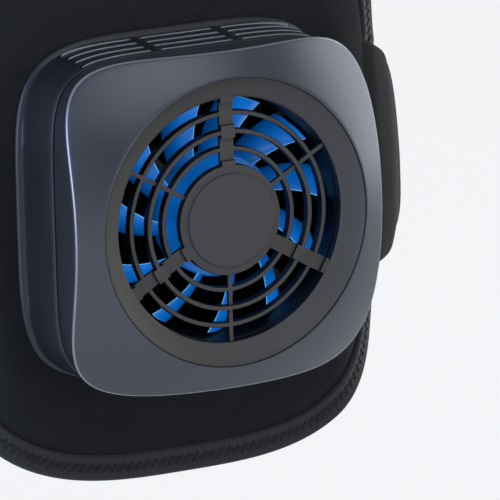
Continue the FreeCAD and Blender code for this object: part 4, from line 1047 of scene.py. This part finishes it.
def metal(name, colour, roughness, grain, relief, stretch=(1, 1, 1)):
    """Bare or plated metal with the marks of its making, which the stretch draws out."""
    material, tree = blank_material(name)
    place = add_node(tree, "TexCoord").outputs["Object"]
    drawn = add_node(tree, "Mapping", {"Vector": place, "Scale": stretch})
    marks = add_node(tree, "TexNoise", {"Vector": drawn.outputs[0], "Scale": 1000 / grain, "Detail": 4})
    rough = add_node(tree, "MapRange", {"Value": marks.outputs["Fac"], "To Min": roughness - 0.08,
                                        "To Max": roughness + 0.1})
    bump = add_node(tree, "Bump", {"Height": marks.outputs["Fac"], "Strength": 0.4,
                                   "Distance": relief / 1000})
    shader = add_node(tree, "BsdfPrincipled", {"Base Color": paint(colour), "Metallic": 1.0,
                                               "Roughness": rough.outputs[0], "Normal": bump.outputs[0]})
    add_node(tree, "OutputMaterial", {"Surface": shader.outputs[0]})
    return material


# Each finish is given by its colour, roughness, grain and relief in mm, then the pieces that have it.
for finish, names in (
        (moulded("black_abs_bezel", "#26272a", 0.55, 0.6, 0.02), ["back_bezel"]),
        (moulded("black_pbt_fan_case", "#0d0d0e", 0.5, 0.6, 0.01), ["fan_frame"]),
        (moulded("grey_abs_button", "#4a4e54", 0.38, 0.4, 0.01), ["power_button", "mode_button"]),
        (moulded("green_solder_mask", "#0f4a2a", 0.35, 1.2, 0.01, coat=0.3),
         ["fan_circuit_board", "control_board"]),
        (moulded("black_nylon_switch", "#141415", 0.6, 0.5, 0.01),
         ["power_switch", "mode_switch", "power_plunger", "mode_plunger"]),
        (moulded("closed_cell_foam", "#2b2b2d", 0.9, 0.9, 0.12), ["insulation_gasket"]),
        (moulded("bonded_ferrite", "#1c1c1d", 0.7, 0.5, 0.02), ["fan_magnet_ring"]),
        (moulded("lapped_alumina", "#e8e8e4", 0.55, 0.5, 0.005, mottle=0.04),
         ["element_skin_ceramic", "element_sink_ceramic"]),
        (moulded("bismuth_telluride", "#5c5d60", 0.4, 0.5, 0.01, metallic=0.8), ["element_pellets"]),
        (moulded("clear_epoxy_lens", "#a8d8ff", 0.15, 1.0, 0.002), ["fan_lights"]),
        (metal("bead_blasted_aluminium", "#b9bbbe", 0.42, 0.35, 0.02), ["thermal_plate"]),
        # The heat sink's aluminium is drawn near black, much darker than the plate.
        (metal("near_black_aluminium", "#121315", 0.5, 0.5, 0.01, (1, 0.05, 1)), ["heat_sink"]),
        (metal("zinc_plated_steel", "#b3b2b0", 0.3, 0.5, 0.005),
         ["fan_shaft", "fan_bearings", "clamp_screws", "heat_sink_screws", "fan_screws", "charging_socket"]),
        (metal("stacked_laminations", "#5b5c60", 0.5, 0.3, 0.02, (0.1, 1, 0.1)), ["fan_stator_core"]),
        (metal("enamelled_copper_wire", "#b4632c", 0.3, 0.4, 0.04, (0.2, 1, 1)), ["fan_coils"]),
        (metal("foil_pouch", "#a9acb0", 0.38, 6, 0.15), ["battery_cell"])):
    for name in names:
        part = nodes[name]
        part.data.materials.clear()
        part.data.materials.append(finish)
